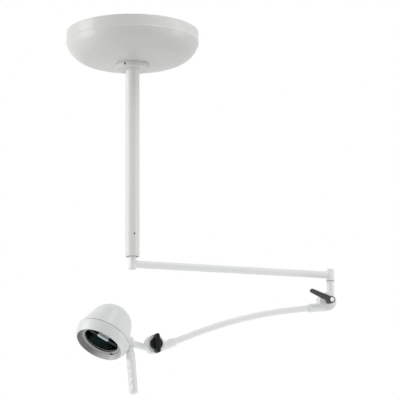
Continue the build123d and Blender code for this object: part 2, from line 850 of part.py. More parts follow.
def shell_outline(wall):
    """Side and dome of the rear shell, moved inwards by a wall: line, then arc to the axis."""
    taper = radians(shell_taper)
    dome = shell_dome_radius - wall
    dome_top = shell_height - wall
    dome_centre = dome_top - dome
    # the taper line touches an arc whose centre is inset from the axis by the crown radius
    reach = cone_radius(dome_centre, wall) * cos(taper)
    inset = (reach - dome) / cos(taper)
    touch = (inset + dome * cos(taper), dome_centre + dome * sin(taper))
    return inset, dome_centre, dome, touch, dome_top


def shell_body(wall, low):
    """Filled body of revolution bounded by the rear shell's outside moved in by a wall."""
    inset, centre, dome, touch, top = shell_outline(wall)
    mid_angle = radians((shell_taper + 90) / 2)
    middle = (inset + dome * cos(mid_angle), 0, centre + dome * sin(mid_angle))
    side_low = (cone_radius(low, wall), 0, low)
    side_high = (touch[0], 0, touch[1])
    crown = (inset, 0, top)
    return lathe(
        Line((0, 0, low), side_low), Line(side_low, side_high),
        ThreePointArc(side_high, middle, crown), Line(crown, (0, 0, top)),
        Line((0, 0, top), (0, 0, low)))


def port():
    """Location on the yoke axis in the head's frame, with Z pointing at the wrist."""
    lean = radians(shell_taper)
    return aim((0, 0, port_height), (cos(lean), 0, sin(lean)), (sin(lean), 0, -cos(lean)))


def port_reach():
    """Distance along the yoke axis from the head axis to the outside of the shell."""
    lean = radians(shell_taper)
    slope = tan(lean)
    start = shell_radius - (port_height - bezel_height) * slope
    return start / (cos(lean) + sin(lean) * slope)


def switch_spot():
    """Location of the switch on the shell's side, Z square to the side, X along the taper."""
    lean = radians(shell_taper)
    turn = radians(switch_angle)
    radius = cone_radius(switch_height)
    normal = Vector(cos(turn) * cos(lean), sin(turn) * cos(lean), sin(lean))
    along = Vector(-cos(turn) * sin(lean), -sin(turn) * sin(lean), cos(lean))
    return aim((radius * cos(turn), radius * sin(turn), switch_height), normal, along)


def rear_shell():
    low = bezel_height + seam_gap
    shell = shell_body(0, low) - shell_body(shell_wall, low - 1)
    shell -= port() * rod(hub_neck_radius + seat_gap, 40, 110)
    cutout = Box(switch_length - switch_frame, switch_width - switch_frame, 20)
    shell -= switch_spot() * cutout
    return in_head * shell


def bezel_arc_centre():
    """Centre and radius of the arc from the lip to the widest part of the bezel."""
    rise = bezel_height
    inward = bezel_radius - lip_radius
    radius = (inward ** 2 + rise ** 2) / (2 * inward)
    return bezel_radius - radius, radius


def bezel_edge(height, wall=0.0):
    """Radius of the bezel's outside at a height, moved inwards by a wall."""
    centre, radius = bezel_arc_centre()
    return centre + sqrt((radius - wall) ** 2 - (bezel_height - height) ** 2)


def bezel_ring():
    """Bulged outer skin, conical inner face, glass seat and spigot for the rear shell."""
    lip_round = 1.2
    spigot_outer = cone_radius(bezel_height + spigot_height, shell_wall) - 0.3
    spigot_inner = spigot_outer - spigot_wall
    seat_top = glass_front + glass_thickness + gasket_thickness
    pocket = glass_radius + 0.4
    ring_back = glass_front
    skin_low = 4.5
    skin_mid = bezel_height * 0.6
    outer = ThreePointArc(
        (lip_radius, 0, 0), (bezel_edge(bezel_height / 2), 0, bezel_height / 2),
        (bezel_radius, 0, bezel_height))
    inner = ThreePointArc(
        (bezel_edge(bezel_height - 2, bezel_wall), 0, bezel_height - 2),
        (bezel_edge(skin_mid, bezel_wall), 0, skin_mid),
        (bezel_edge(skin_low, bezel_wall), 0, skin_low))
    points = [
        inner @ 1,
        (cone_inner_radius + 2.2, 0, cone_depth),
        (cone_inner_radius + 2.2, 0, seat_top + seat_thickness),
        (glass_radius - gasket_width, 0, seat_top + seat_thickness),
        (glass_radius - gasket_width, 0, seat_top),
        (pocket, 0, seat_top),
        (pocket, 0, ring_back),
        (ring_outer_radius + 0.3, 0, ring_back),
        (ring_outer_radius + 0.3, 0, cone_depth + 0.6),
        (cone_inner_radius, 0, cone_depth),
        (lip_radius - lip_round, 0, 0),
        (lip_radius, 0, 0)]
    back = [
        (bezel_radius, 0, bezel_height),
        (spigot_outer, 0, bezel_height),
        (spigot_outer, 0, bezel_height + spigot_height),
        (spigot_inner, 0, bezel_height + spigot_height),
        (spigot_inner, 0, bezel_height - 2),
        inner @ 0]
    bezel = lathe(outer, Polyline(*back), inner, Polyline(*points))
    for angle in bezel_screw_angles():
        bezel -= radial(angle, bezel_screw_height) * rod(bezel_screw_radius + seat_gap, 70, 90)
    return in_head * bezel


def bezel_screw_angles():
    return (bezel_screw_angle, bezel_screw_angle + 180)


def bezel_screws():
    outer = bezel_edge(bezel_screw_height) - 0.4
    screw = rod(bezel_screw_radius, outer - 7, outer)
    screw -= hexagon(1.6, outer - 1.5, outer + 1)
    return [in_head * radial(angle, bezel_screw_height) * screw for angle in bezel_screw_angles()]


# ---------------------------------------------------------------- lamp head: glass and optics
def glass_seat_back():
    """Height of the back of the bezel's seat for the glass."""
    return glass_front + glass_thickness + gasket_thickness + seat_thickness


def front_glass():
    back = glass_front + glass_thickness
    glass = rod(glass_radius, glass_front, back)
    return in_head * chamfer(glass.edges().filter_by(GeomType.CIRCLE), 0.6)


def glass_gasket():
    low = glass_front + glass_thickness
    return in_head * ring(glass_radius, glass_radius - gasket_width, low, low + gasket_thickness)


def glass_retaining_ring():
    high = glass_front
    retainer = ring(ring_outer_radius, ring_inner_radius, high - ring_thickness, high)
    front = retainer.edges().filter_by(GeomType.CIRCLE).group_by(Axis.Z)[0]
    return in_head * chamfer(front, 0.8)


def retaining_clips():
    """Small bent clips that hold the retaining ring in the bezel."""
    face = glass_front - ring_thickness
    clip = Pos(ring_outer_radius - 3.2, 0, face - 0.6) * Box(5.4, clip_width, 1.2)
    clip -= Pos(ring_outer_radius - 3.6, 0, face - 2) * rod(1.1, 0, 3)
    return [in_head * spot * clip for spot in spread(clip_count, 0, clip_angle)]


def reflector():
    """Paraboloid shell with a rolled rim that lies against the back of the glass seat."""
    apex = reflector_front + reflector_depth

    def bowl(extra):
        curve = [(r, 0, apex - (r / (reflector_mouth_radius + extra)) ** 2 * reflector_depth)
                 for r in (0, 18 + extra, 36 + extra, reflector_mouth_radius + extra)]
        return curve

    outer_curve = bowl(reflector_wall)
    inner_curve = bowl(0)
    outer = Spline(*outer_curve, tangents=[(1, 0, 0), parabola_tangent()])
    inner = Spline(*[(r, 0, z - reflector_wall) for r, _, z in inner_curve],
                   tangents=[(1, 0, 0), parabola_tangent()])
    shell = lathe(
        outer, Line(outer @ 1, inner @ 1), inner, Line(inner @ 0, outer @ 0))
    rim_low = glass_seat_back() + 0.1
    rim = ring(reflector_mouth_radius + 5, reflector_mouth_radius - 1, rim_low, rim_low + 1.6)
    bowl_shell = shell + rim
    return in_head * (bowl_shell - rod(reflector_throat_radius, apex - 20, apex + 5))


def parabola_tangent():
    return (reflector_mouth_radius, 0, -2 * reflector_depth)


def carrier_low():
    return reflector_front + reflector_depth + 2


def lamp_carrier():
    """Plate across the shell, seated on its taper, that carries the lamp socket."""
    low = carrier_low()
    slope = tan(radians(shell_taper))
    edge = cone_radius(low, shell_wall) - seat_gap
    plate = turned([
        (socket_radius + seat_gap, low), (edge, low),
        (edge - carrier_thickness * slope, low + carrier_thickness),
        (socket_radius + seat_gap, low + carrier_thickness)])
    for spot in spread(6, (edge + socket_radius) / 2, 15):
        plate -= spot * rod(8, low - 1, low + carrier_thickness + 1)
    collar = ring(reflector_throat_radius + 1, socket_radius + seat_gap, low - 5, low)
    return in_head * (plate + collar)


def lamp_socket():
    low = carrier_low() - 5
    socket = rod(socket_radius, low, low + socket_height)
    seat = carrier_low() + carrier_thickness
    socket += rod(socket_radius + 3, seat, seat + 4)
    for side in (-1, 1):
        socket -= Pos(side * bulb_pin_spacing / 2, 0, 0) * rod(bulb_pin_radius + seat_gap, low - 1, low + 9)
    return in_head * socket


def halogen_bulb():
    top = carrier_low() - 5
    bulb = rod(bulb_radius, top - bulb_length, top)
    bulb = fillet(bulb.edges().filter_by(GeomType.CIRCLE).group_by(Axis.Z)[0], bulb_radius - 0.6)
    for side in (-1, 1):
        bulb += Pos(side * bulb_pin_spacing / 2, 0, 0) * rod(bulb_pin_radius, top - 1, top + 8)
    return in_head * bulb


def bulb_shield():
    """Cup in front of the bulb that stops direct glare."""
    low = shield_height
    cup = rod(shield_radius, low, low + shield_depth)
    cup = fillet(cup.edges().filter_by(GeomType.CIRCLE).group_by(Axis.Z)[0], 5.0)
    hollow = rod(shield_radius - shield_wall, low + shield_wall, low + shield_depth + 1)
    hollow = fillet(hollow.edges().filter_by(GeomType.CIRCLE).group_by(Axis.Z)[0], 4.0)
    return in_head * (cup - hollow)


def shield_bracket():
    """Bar across the mouth of the reflector, ribbed in its middle, with a stem to the shield."""
    low = bracket_height
    rim_low = glass_seat_back() + 0.1
    half = reflector_mouth_radius - 2.0
    bar = Pos(0, 0, low + bracket_thickness / 2) * Box(2 * half, bracket_width, bracket_thickness)
    stem = rod(4, low + bracket_thickness, shield_height - 0.02)
    bracket = bar + stem
    for index in range(rib_count):
        x = (index - (rib_count - 1) / 2) * rib_pitch
        rib = Pos(x, 0, low) * Rot(90, 0, 0) * Cylinder(rib_radius, bracket_width)
        bracket += rib
    trim = rod(half, rim_low, shield_height)
    return in_head * (bracket & trim)


# ---------------------------------------------------------------- lamp head: collar and handle
def handle_axis():
    """Location at the top of the handle in the head's frame, Z along the handle to its tip."""
    tilt = radians(handle_tilt)
    return aim((handle_top_radius, 0, handle_top_height), (sin(tilt), 0, -cos(tilt)),
               (cos(tilt), 0, sin(tilt)))


def yoke_stem_end():
    """Wrist pivot to the end of the yoke stem, just clear of the head's collar."""
    return head_distance - port_reach() - head_collar_height - body_gap - 0.5


def head_collar():
    """Collar on the side of the shell, with a threaded neck inside and a lug for the handle."""
    face = port_reach() + head_collar_height
    disc = rod(head_collar_radius, port_reach() - 8, face)
    disc = fillet(disc.edges().filter_by(GeomType.CIRCLE).group_by(Axis.Z)[-1], 2.0)
    neck = rod(hub_neck_radius, port_reach() - hub_neck_length, port_reach())
    lug = handle_axis() * rod(handle_lug_radius, -handle_lug_length, 0)
    outside = shell_body(-seat_gap, bezel_height)
    bezel_zone = rod(bezel_radius + 0.3, 0, bezel_height + seam_gap)
    collar = (port() * disc + lug) - outside - bezel_zone
    collar += port() * neck
    collar -= port() * rod(head_spindle_radius + running_gap, 30, face + 20)
    return in_head * (collar - handle_axis() * rod(handle_stud_radius + seat_gap, -14, 1))


def hub_nut():
    """Nut on the collar's neck inside the shell."""
    neck_end = port_reach() - hub_neck_length
    nut = hexagon(2 * hub_nut_radius * cos(radians(30)), neck_end + 1, neck_end + 1 + hub_nut_height)
    nut -= rod(hub_neck_radius + seat_gap, neck_end - 5, neck_end + 20)
    return in_head * port() * nut


def spindle_end():
    return port_reach() - hub_neck_length - circlip_thickness - body_gap - 2


def head_spindle():
    """Hollow spindle fixed in the yoke stem, on which the lamp head swivels."""
    stem_face = head_distance - yoke_stem_end()
    spindle = ring(head_spindle_radius, head_spindle_bore, spindle_end(), stem_face + 29)
    z = hub_clip_z()
    spindle -= ring(head_spindle_radius + 1, head_spindle_radius - circlip_depth, z, z + circlip_thickness)
    return yoke_frame() * spindle


def hub_clip_z():
    return port_reach() - hub_neck_length - body_gap - circlip_thickness


def yoke_frame():
    """Location on the head axis with Z along the yoke towards the wrist."""
    return aim(head_cross, yoke_dir * -1, (0, 1, 0))


def hub_circlip():
    return yoke_frame() * circlip(head_spindle_radius - circlip_depth, hub_clip_z())


def handle_grip():
    """Moulded handle with finger waves on the side away from the wrist."""
    grip = rod(handle_radius, 0.1, handle_length)
    grip = fillet(grip.edges().filter_by(GeomType.CIRCLE).group_by(Axis.Z)[-1], handle_tip_round)
    half_chord = (grip_wave_pitch - grip_wave_land) / 2
    wave_radius = half_chord ** 2 / (2 * grip_wave_depth) + grip_wave_depth / 2
    first = handle_length - handle_tip_round - grip_wave_pitch * (grip_wave_count - 0.5)
    for index in range(grip_wave_count):
        z = first + grip_wave_pitch * index
        wave = Pos(-handle_radius - wave_radius + grip_wave_depth, 0, z) * Rot(90, 0, 0)
        grip -= wave * Cylinder(wave_radius, 4 * handle_radius)
    grip -= rod(handle_stud_radius + seat_gap, -1, handle_stud_length - 13)
    return in_head * handle_axis() * grip


def handle_stud():
    return in_head * handle_axis() * rod(handle_stud_radius, -13, handle_stud_length - 14)


# ---------------------------------------------------------------- lamp head: switch
def switch_body():
    frame = Pos(0, 0, 1.0) * Box(switch_length + 2, switch_width + 2, 2.0)
    well = Pos(0, 0, -switch_depth / 2) * Box(
        switch_length - switch_frame - 0.2, switch_width - switch_frame - 0.2, switch_depth + 2)
    body = frame + well
    body -= shell_patch()
    mouth = Box(switch_length - 2 * switch_frame, switch_width - 2 * switch_frame, 2 * rocker_radius)
    body -= Pos(0, 0, 2.0) * mouth
    body -= Rot(90, 0, 0) * Cylinder(rocker_axle_radius + running_gap, switch_width - 2)
    return in_head * switch_spot() * body


def shell_patch():
    """The shell wall in the switch's own frame, so that the frame of the switch sits on it."""
    low = bezel_height + seam_gap
    wall = shell_body(-seat_gap, low) - shell_body(shell_wall + seat_gap, low)
    cutout = Box(switch_length - switch_frame - 0.1, switch_width - switch_frame - 0.1, 20)
    return switch_spot().inverse() * wall - cutout


def switch_rocker():
    """Rocker on a cross axle, pressed down on one end at rest."""
    width = switch_width - 2 * switch_frame - 2 * body_gap
    length = switch_length - 2 * switch_frame - 2 * body_gap
    block = Rot(90, 0, 0) * Cylinder(rocker_radius, width)
    block &= Pos(0, 0, 0) * Box(length - 2.6, width, 9)
    axle = Rot(90, 0, 0) * Cylinder(rocker_axle_radius, switch_width - 2.4)
    return in_head * switch_spot() * (Rot(0, 8, 0) * block + axle)


# ---------------------------------------------------------------- the assembly
PARTS = {
    "ceiling_plate": ceiling_plate, "tube_flange": tube_flange, "flange_bolts": flange_bolts,
    "tube_set_bolts": tube_set_bolts, "drop_tube": drop_tube, "canopy_cover": canopy_cover,
    "canopy_collar": canopy_collar, "collar_set_screw": collar_set_screw,
    "transformer": transformer, "transformer_bolt": transformer_bolt,
    "terminal_block": terminal_block, "terminal_block_screws": terminal_block_screws,
    "spindle_housing": spindle_housing, "spindle_bushes": spindle_bushes,
    "swing_stop_screw": swing_stop_screw, "swing_spindle": swing_spindle,
    "swing_stop_pin": swing_stop_pin, "spindle_circlip": spindle_circlip,
    "spindle_plug": spindle_plug, "swing_arm_tube": swing_arm_tube,
    "arm_end_socket": arm_end_socket, "arm_end_cap": arm_end_cap,
    "swivel_bushes": swivel_bushes, "swivel_pin": swivel_pin, "swivel_circlip": swivel_circlip,
    "swivel_washer": swivel_washer, "elbow_rear_knuckle": elbow_rear_knuckle,
    "elbow_front_knuckle": elbow_front_knuckle,
    "elbow_friction_disc": lambda: friction_disc(elbow),
    "elbow_bolt": lambda: hinge_bolt(elbow, bolt_stand()),
    "lower_arm_tube": lower_arm_tube, "arm_socket_pins": arm_socket_pins,
    "wrist_rear_knuckle": wrist_rear_knuckle, "clamp_lever": clamp_lever,
    "lever_cap_screw": lever_cap_screw, "wrist_front_knuckle": wrist_front_knuckle,
    "wrist_friction_disc": lambda: friction_disc(wrist),
    "wrist_bolt": lambda: hinge_bolt(wrist, bolt_stand()), "wing_knob": wing_knob,
    "head_spindle": head_spindle, "hub_circlip": hub_circlip, "rear_shell": rear_shell,
    "bezel_ring": bezel_ring, "bezel_screws": bezel_screws, "front_glass": front_glass,
    "glass_gasket": glass_gasket, "glass_retaining_ring": glass_retaining_ring,
    "retaining_clips": retaining_clips, "reflector": reflector, "lamp_carrier": lamp_carrier,
    "lamp_socket": lamp_socket, "halogen_bulb": halogen_bulb, "bulb_shield": bulb_shield,
    "shield_bracket": shield_bracket, "head_collar": head_collar, "hub_nut": hub_nut,
    "handle_stud": handle_stud, "handle_grip": handle_grip, "switch_body": switch_body,
    "switch_rocker": switch_rocker,
}


def main():
    os.makedirs("parts", exist_ok=True)
    for name, make in PARTS.items():
        made = make()
        shape = Compound(children=made) if isinstance(made, list) else made
        export_step(shape, f"parts/{name}.step")


main()
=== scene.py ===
"""Dental operating light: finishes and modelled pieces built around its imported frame.

Lengths in the shape functions are millimetres in a piece's own frame; seat() turns them into
metres in the row's frame, where every finished piece has its place in its mesh.
"""

import json
import math

import bmesh
import bpy
import numpy as np
from bpy.props import FloatProperty, FloatVectorProperty, IntProperty, PointerProperty
from mathutils import Matrix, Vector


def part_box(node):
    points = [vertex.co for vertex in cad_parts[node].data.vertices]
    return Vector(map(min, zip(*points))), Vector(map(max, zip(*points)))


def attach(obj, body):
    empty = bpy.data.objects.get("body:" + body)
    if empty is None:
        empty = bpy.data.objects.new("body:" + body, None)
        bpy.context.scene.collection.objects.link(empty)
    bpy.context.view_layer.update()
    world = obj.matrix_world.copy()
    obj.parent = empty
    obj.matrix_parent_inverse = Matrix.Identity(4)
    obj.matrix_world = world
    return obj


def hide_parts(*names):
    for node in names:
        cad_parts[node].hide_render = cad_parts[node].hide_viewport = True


bl_info = {
    "name": "Dental operating light",
    "version": (1, 0, 0),
    "blender": (4, 5, 0),
    "location": "3D View > Sidebar > Dental light",
    "description": "Builds the finishes and detailed pieces of a ceiling-mounted dental light",
    "category": "Object",
}

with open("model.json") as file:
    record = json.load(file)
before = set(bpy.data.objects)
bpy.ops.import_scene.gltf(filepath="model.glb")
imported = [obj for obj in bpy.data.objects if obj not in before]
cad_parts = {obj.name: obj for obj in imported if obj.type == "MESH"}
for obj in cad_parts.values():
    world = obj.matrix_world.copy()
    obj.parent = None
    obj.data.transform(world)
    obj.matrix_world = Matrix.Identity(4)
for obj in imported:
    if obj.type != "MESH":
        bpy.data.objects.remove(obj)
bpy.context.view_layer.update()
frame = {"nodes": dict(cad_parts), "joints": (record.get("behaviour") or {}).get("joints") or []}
joints = {joint["name"]: joint for joint in frame["joints"]}

MILLIMETRE = 0.001
MERGE = 2e-7                      # closer points of a piece become one, in metres

# Sizes that pieces share with their neighbours, in millimetres.
FRONT_FACE = 0.9 + 14.0 + 0.3     # hinge split to the seat of a lever or knob
COLLAR_BORE = 22.2                # hole of the canopy round the drop tube
ARM_BAR, SPINDLE_BAR, SOCKET_BAR = 11.1, 12.05, 12.35   # radii at the arm's two welds
WELD = 1.1                        # radius of a weld bead

# Bounds on the head's bell in metres, over the lip or, for the cone, as r + CONE_SLOPE h. The cone's grey
# and the seam's black inside these bounds are painted shade.
CONE_SLOPE, CONE_EDGE, CONE_TOP = 0.45, (0.0716, 0.0712), (0.0305, 0.0300)
# Painted shade on the cone fades to painted light towards the arm.
CONE_SHADE_FADE = (-0.015, 0.035)       # grey to pale, towards the arm
SEAM_SHADE_LOW, SEAM_SHADE_HIGH = (0.0311, 0.0314), (0.0334, 0.0332)
RIBS = (0.0185, 0.0175)           # the bracket's ribbed middle ends at this radius
SHADE_BLACK, WHITE = (0.004, 0.004, 0.004, 1.0), (1.0, 1.0, 1.0, 1.0)

# The stage in metres: right of, ahead of and above the ceiling's middle or the object's.
CAMERA_SPOT = np.array([0.2028, -5.874, -1.7715])
MIDDLE = np.array([0.3, 0.0, -0.6])
LAMP_SIDE = (0.31, 0.95, 0.02)    # roughly along a lamp's first side
LAMPS = tuple((name, power, size, np.array(spot), target) for name, power, size, spot, target in (
    ("key_lamp", "key", (1.2, 2.2), (-2.6, -0.4, 0.3), 0.0),
    ("side_lamp", "side", (1.0, 2.2), (2.6, -0.4, 0.2), 0.0),
    ("front_lamp", "front", (1.6, 1.0), (0.3, -2.6, -0.5), -0.4),
    ("low_lamp", "low", (2.4, 2.0), (0.134, -0.377, -1.65), 0.0),
    ("top_lamp", "top", (1.6, 1.0), (0.3, -0.7, 1.5), -0.3)))
FLOOR_RINGS, FLOOR_SIDES = (0.0, 4.0, 16.0), 96


# ---------------------------------------------------------------- frames
def seat(origin, z_dir, x_dir):
    """4x4 matrix from a piece's own frame in millimetres to the row's frame in metres."""
    z = np.asarray(z_dir, float)
    z = z / np.linalg.norm(z)
    x = np.asarray(x_dir, float)
    x = x - z * (x @ z)
    x = x / np.linalg.norm(x)
    matrix = np.eye(4)
    matrix[:3, :3] = np.stack([x, np.cross(z, x), z], axis=1) * MILLIMETRE
    matrix[:3, 3] = origin
    return matrix


def upright(height):
    """Frame on the drop tube's axis at a height in metres, with Z up and X along the swing arm."""
    return seat((0.0, 0.0, height), (0, 0, 1), (1, 0, 0))


def hinge_seat(joint, angle):
    """Frame on a hinge pivot with Z out of its front and X at an angle from +X towards +Z."""
    turn = math.radians(angle)
    return seat(joints[joint]["pos_m"], (0, -1, 0), (math.cos(turn), 0, math.sin(turn)))


def head_seat(settings):
    """Frame of the lamp head: lip centre, X towards the wrist, Z out of its back.

    The upright head leans by the yoke's rise plus its own taper, and is then turned about the yoke.
    """
    outward = -np.array(joints["head_swivel"]["axis"], float)
    lean = math.atan2(outward[2], -outward[0]) + math.radians(settings.taper)
    turn = np.array(Matrix.Rotation(math.radians(settings.roll), 3, outward))
    side = turn @ np.array([math.cos(lean), 0, -math.sin(lean)])
    back = turn @ np.array([math.sin(lean), 0, math.cos(lean)])
    lip = np.array(joints["head_swivel"]["pos_m"]) - back * settings.port_height * MILLIMETRE
    return seat(lip, back, side)


# ---------------------------------------------------------------- surfaces
def points_from(*parts):
    """Points, or pairs, from arrays of their x, y and z that spread over one another."""
    return np.stack(np.broadcast_arrays(*parts), axis=-1)


def grid_faces(rows, columns, wrap_rows, wrap_columns):
    """Quads of a rows x columns grid of points, closed on itself where it wraps."""
    row = np.arange(rows if wrap_rows else rows - 1)[:, None]
    column = np.arange(columns if wrap_columns else columns - 1)[None, :]
    down, right = (row + 1) % rows, (column + 1) % columns
    return points_from(row * columns + column, row * columns + right,
                       down * columns + right, down * columns + column).reshape(-1, 4)


def make_piece(name, grids, place, body, nodes, material, smooth_angle=32.0):
    """One piece from closed grids of points: [(points, wrap_rows, wrap_columns), ...]."""
    points, faces, count = [], [], 0
    for grid, wrap_rows, wrap_columns in grids:
        rows, columns = grid.shape[:2]
        faces.append(grid_faces(rows, columns, wrap_rows, wrap_columns) + count)
        points.append(grid.reshape(-1, 3))
        count += rows * columns
    local = np.concatenate(points)
    world = local @ place[:3, :3].T + place[:3, 3]
    mesh = bpy.data.meshes.new(name)
    mesh.from_pydata(world, [], np.concatenate(faces))
    work = bmesh.new()
    work.from_mesh(mesh)
    bmesh.ops.remove_doubles(work, verts=work.verts, dist=MERGE)
    bmesh.ops.dissolve_degenerate(work, edges=work.edges, dist=MERGE)
    bmesh.ops.recalc_face_normals(work, faces=work.faces)
    work.to_mesh(mesh)
    work.free()
    mesh.polygons.foreach_set("use_smooth", np.ones(len(mesh.polygons), bool))
    mesh.set_sharp_from_angle(angle=math.radians(smooth_angle))
    mesh.materials.append(material)
    piece = bpy.data.objects.new(name, mesh)
    bpy.context.scene.collection.objects.link(piece)
    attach(piece, body)
    if nodes:
        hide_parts(*nodes)


def rounded(corners, radii, arc_steps=8, longest=None):
    """Outline through corners, each rounded by a tangent arc of its radius.

    The arc at a corner starts radius / tan(half angle) before it and turns about the point on the
    bisector; straight runs longer than `longest` are divided evenly.
    """
    corners = [np.array(corner, float) for corner in corners]
    runs = []
    for index, corner in enumerate(corners):
        radius = radii[index]
        if radius <= 0 or index in (0, len(corners) - 1):
            runs.append(corner[None, :])
            continue
        back = corners[index - 1] - corner
        ahead = corners[index + 1] - corner
        back, ahead = back / np.linalg.norm(back), ahead / np.linalg.norm(ahead)
        half = math.acos(np.clip(back @ ahead, -1, 1)) / 2
        reach = radius / math.tan(half)
        bisector = (back + ahead) / np.linalg.norm(back + ahead)
        centre = corner + bisector * radius / math.sin(half)
        start, end = corner + back * reach - centre, corner + ahead * reach - centre
        sweep = math.atan2(start[0] * end[1] - start[1] * end[0], start @ end)
        angle = np.linspace(0, sweep, arc_steps + 1)
        cosine, sine = np.cos(angle), np.sin(angle)
        runs.append(centre + points_from(
            start[0] * cosine - start[1] * sine, start[0] * sine + start[1] * cosine))
    outline = np.concatenate(runs)
    if longest is None:
        return outline
    gaps = np.linalg.norm(np.diff(outline, axis=0), axis=1)
    divisions = np.maximum(1, np.ceil(gaps / longest)).astype(int)
    place = np.concatenate([index + np.arange(parts) / parts for index, parts in enumerate(divisions)])
    place = np.append(place, len(gaps))
    at = np.arange(len(outline))
    return points_from(np.interp(place, at, outline[:, 0]), np.interp(place, at, outline[:, 1]))


def arc_points(centre, radius, start, end, steps):
    """Points (radius, height) on an arc between two angles in degrees."""
    angle = np.radians(np.linspace(start, end, steps + 1))
    return points_from(centre[0] + radius * np.cos(angle), centre[1] + radius * np.sin(angle))


def lathe(outline, segments=160, closed=False):
    """Surface of revolution: radius and height of the outline carried round Z."""
    angle = np.linspace(0, 2 * np.pi, segments, endpoint=False)
    radius, height = outline[:, 0][:, None], outline[:, 1][:, None]
    return points_from(radius * np.cos(angle), radius * np.sin(angle), height), closed, True


def hull_outline(circles, steps):
    """Hull of circles (x, y, r) by its outward normal: at each angle the circle that reaches
    furthest along the normal gives a centre, a radius and the normal itself."""
    angle = np.linspace(0, 2 * np.pi, steps, endpoint=False)
    normal = points_from(np.cos(angle), np.sin(angle))
    data = np.array(circles, float)
    chosen = np.argmax(normal @ data[:, :2].T + data[:, 2], axis=1)
    return data[chosen, :2], data[chosen, 2], normal


def pillow(circles, shrink_and_height, steps, waist=None):
    """Moulded bar: the hull of circles drawn in towards its centre line by a share at each height.

    A waist, if given, is a function of x and height that pulls the sides in further.
    """
    centre, radius, normal = hull_outline(circles, steps)
    share = 1 - shrink_and_height[:, 0][:, None]
    height = shrink_and_height[:, 1][:, None]
    pull = 1.0 if waist is None else 1 - waist(centre[:, 0] + radius * normal[:, 0], height)
    reach = radius * share * pull
    return points_from(centre[:, 0] + reach * normal[:, 0], centre[:, 1] + reach * normal[:, 1],
                       height), False, True


def tube_along(path, radius, closed, sides=12):
    """Round bar along a path: at each point a circle square to the path's direction."""
    ahead = np.roll(path, -1, axis=0) - np.roll(path, 1, axis=0)
    if not closed:
        ahead[0], ahead[-1] = path[1] - path[0], path[-1] - path[-2]
    ahead /= np.linalg.norm(ahead, axis=1)[:, None]
    reference = np.where(np.abs(ahead[:, 2:3]) < 0.95, [[0.0, 0.0, 1.0]], [[1.0, 0.0, 0.0]])
    across = np.cross(ahead, reference)
    across /= np.linalg.norm(across, axis=1)[:, None]
    over = np.cross(ahead, across)
    angle = np.linspace(0, 2 * np.pi, sides, endpoint=False)[None, :, None]
    size = np.broadcast_to(np.asarray(radius, float).reshape(-1, 1, 1), (len(path), 1, 1))
    points = path[:, None] + size * (np.cos(angle) * across[:, None] + np.sin(angle) * over[:, None])
    if not closed:
        start = np.broadcast_to(path[0], points[:1].shape)
        end = np.broadcast_to(path[-1], points[:1].shape)
        points = np.concatenate([start, points, end])
    return points, closed, True


# ---------------------------------------------------------------- shader nodes
def maths(operation, swapped=False):
    """A method that adds one Math node to the finish of its wire."""
    def apply(wire, other):
        first, second = (other, wire) if swapped else (wire, other)
        return wire.finish.node("ShaderNodeMath", {"operation": operation}, {0: first, 1: second})
    return apply


class Wire:
    """An output socket; arithmetic on it adds Math nodes to its finish."""

    def __init__(self, finish, socket):
        self.finish, self.socket = finish, socket

    __add__ = maths("ADD")
    __radd__ = maths("ADD")
    __sub__ = maths("SUBTRACT")
    __rsub__ = maths("SUBTRACT", swapped=True)
    __mul__ = maths("MULTIPLY")
    __rmul__ = maths("MULTIPLY")
    __pow__ = maths("POWER")


class Nodes:
    """The node tree of a material or world, with one way to add any node."""

    def __init__(self, owner, bare=True):
        owner.use_nodes = True
        self.tree = owner.node_tree
        if bare:
            self.tree.nodes.clear()

    def node(self, kind, settings=None, inputs=None, output=0):
        """A node of a type with its settings, then the values or wires of its sockets."""
        made = self.tree.nodes.new(kind)
        for key, value in (settings or {}).items():
            if key == "stops":
                ramp = made.color_ramp
                for index, (place, colour) in enumerate(value):
                    stop = ramp.elements[index] if index < 2 else ramp.elements.new(place)
                    stop.position, stop.color = place, colour
            else:
                setattr(made, key, value)
        for key, value in (inputs or {}).items():
            self.join(made.inputs[key], value)
        return Wire(self, made.outputs[output]) if made.outputs else None

    def join(self, socket, value):
        if isinstance(value, Wire):
            self.tree.links.new(value.socket, socket)
        else:
            socket.default_value = value


class Finish(Nodes):
    """A material being made, with its shader and the patterns that the finishes share."""

    def __init__(self, name):
        self.material = bpy.data.materials.new(name)
        super().__init__(self.material, bare=False)
        self.shader = self.tree.nodes["Principled BSDF"]

    def shade(self, values):
        """Values or wires for the shader's named sockets; returns the finished material."""
        for key, value in values.items():
            self.join(self.shader.inputs[key], value)
        return self.material

    def place(self):
        return self.node("ShaderNodeTexCoord", output="Object")

    def noise(self, scale, detail=3.0, roughness=0.55, stretch=None):
        """Noise of a size, from 0 to 1, stretched along an axis if asked."""
        vector = self.place()
        if stretch:
            vector = self.node("ShaderNodeMapping", None, {"Vector": vector, "Scale": stretch})
        return self.node("ShaderNodeTexNoise", None, {
            "Vector": vector, "Scale": scale, "Detail": detail, "Roughness": roughness})

    def cells(self, scale):
        """Distance to the nearest cell's middle."""
        return self.node("ShaderNodeTexVoronoi", None, {"Vector": self.place(), "Scale": scale})

    def step(self, value, low, high):
        """0 below low, 1 above high, smooth between."""
        return self.node("ShaderNodeMapRange", {"interpolation_type": "SMOOTHSTEP"}, {
            "Value": value, "From Min": low, "From Max": high})

    def mix(self, share, first, second):
        return self.node("ShaderNodeMix", {"data_type": "RGBA"}, {0: share, 6: first, 7: second}, 2)

    def bump(self, height, distance, strength=1.0, after=None):
        inputs = {"Height": height, "Distance": distance, "Strength": strength}
        if after:
            inputs["Normal"] = after
        return self.node("ShaderNodeBump", None, inputs)


def tint(colour, share):
    """A colour scaled by a share, with full alpha."""
    return (*(min(1.0, part * share) for part in colour[:3]), 1.0)


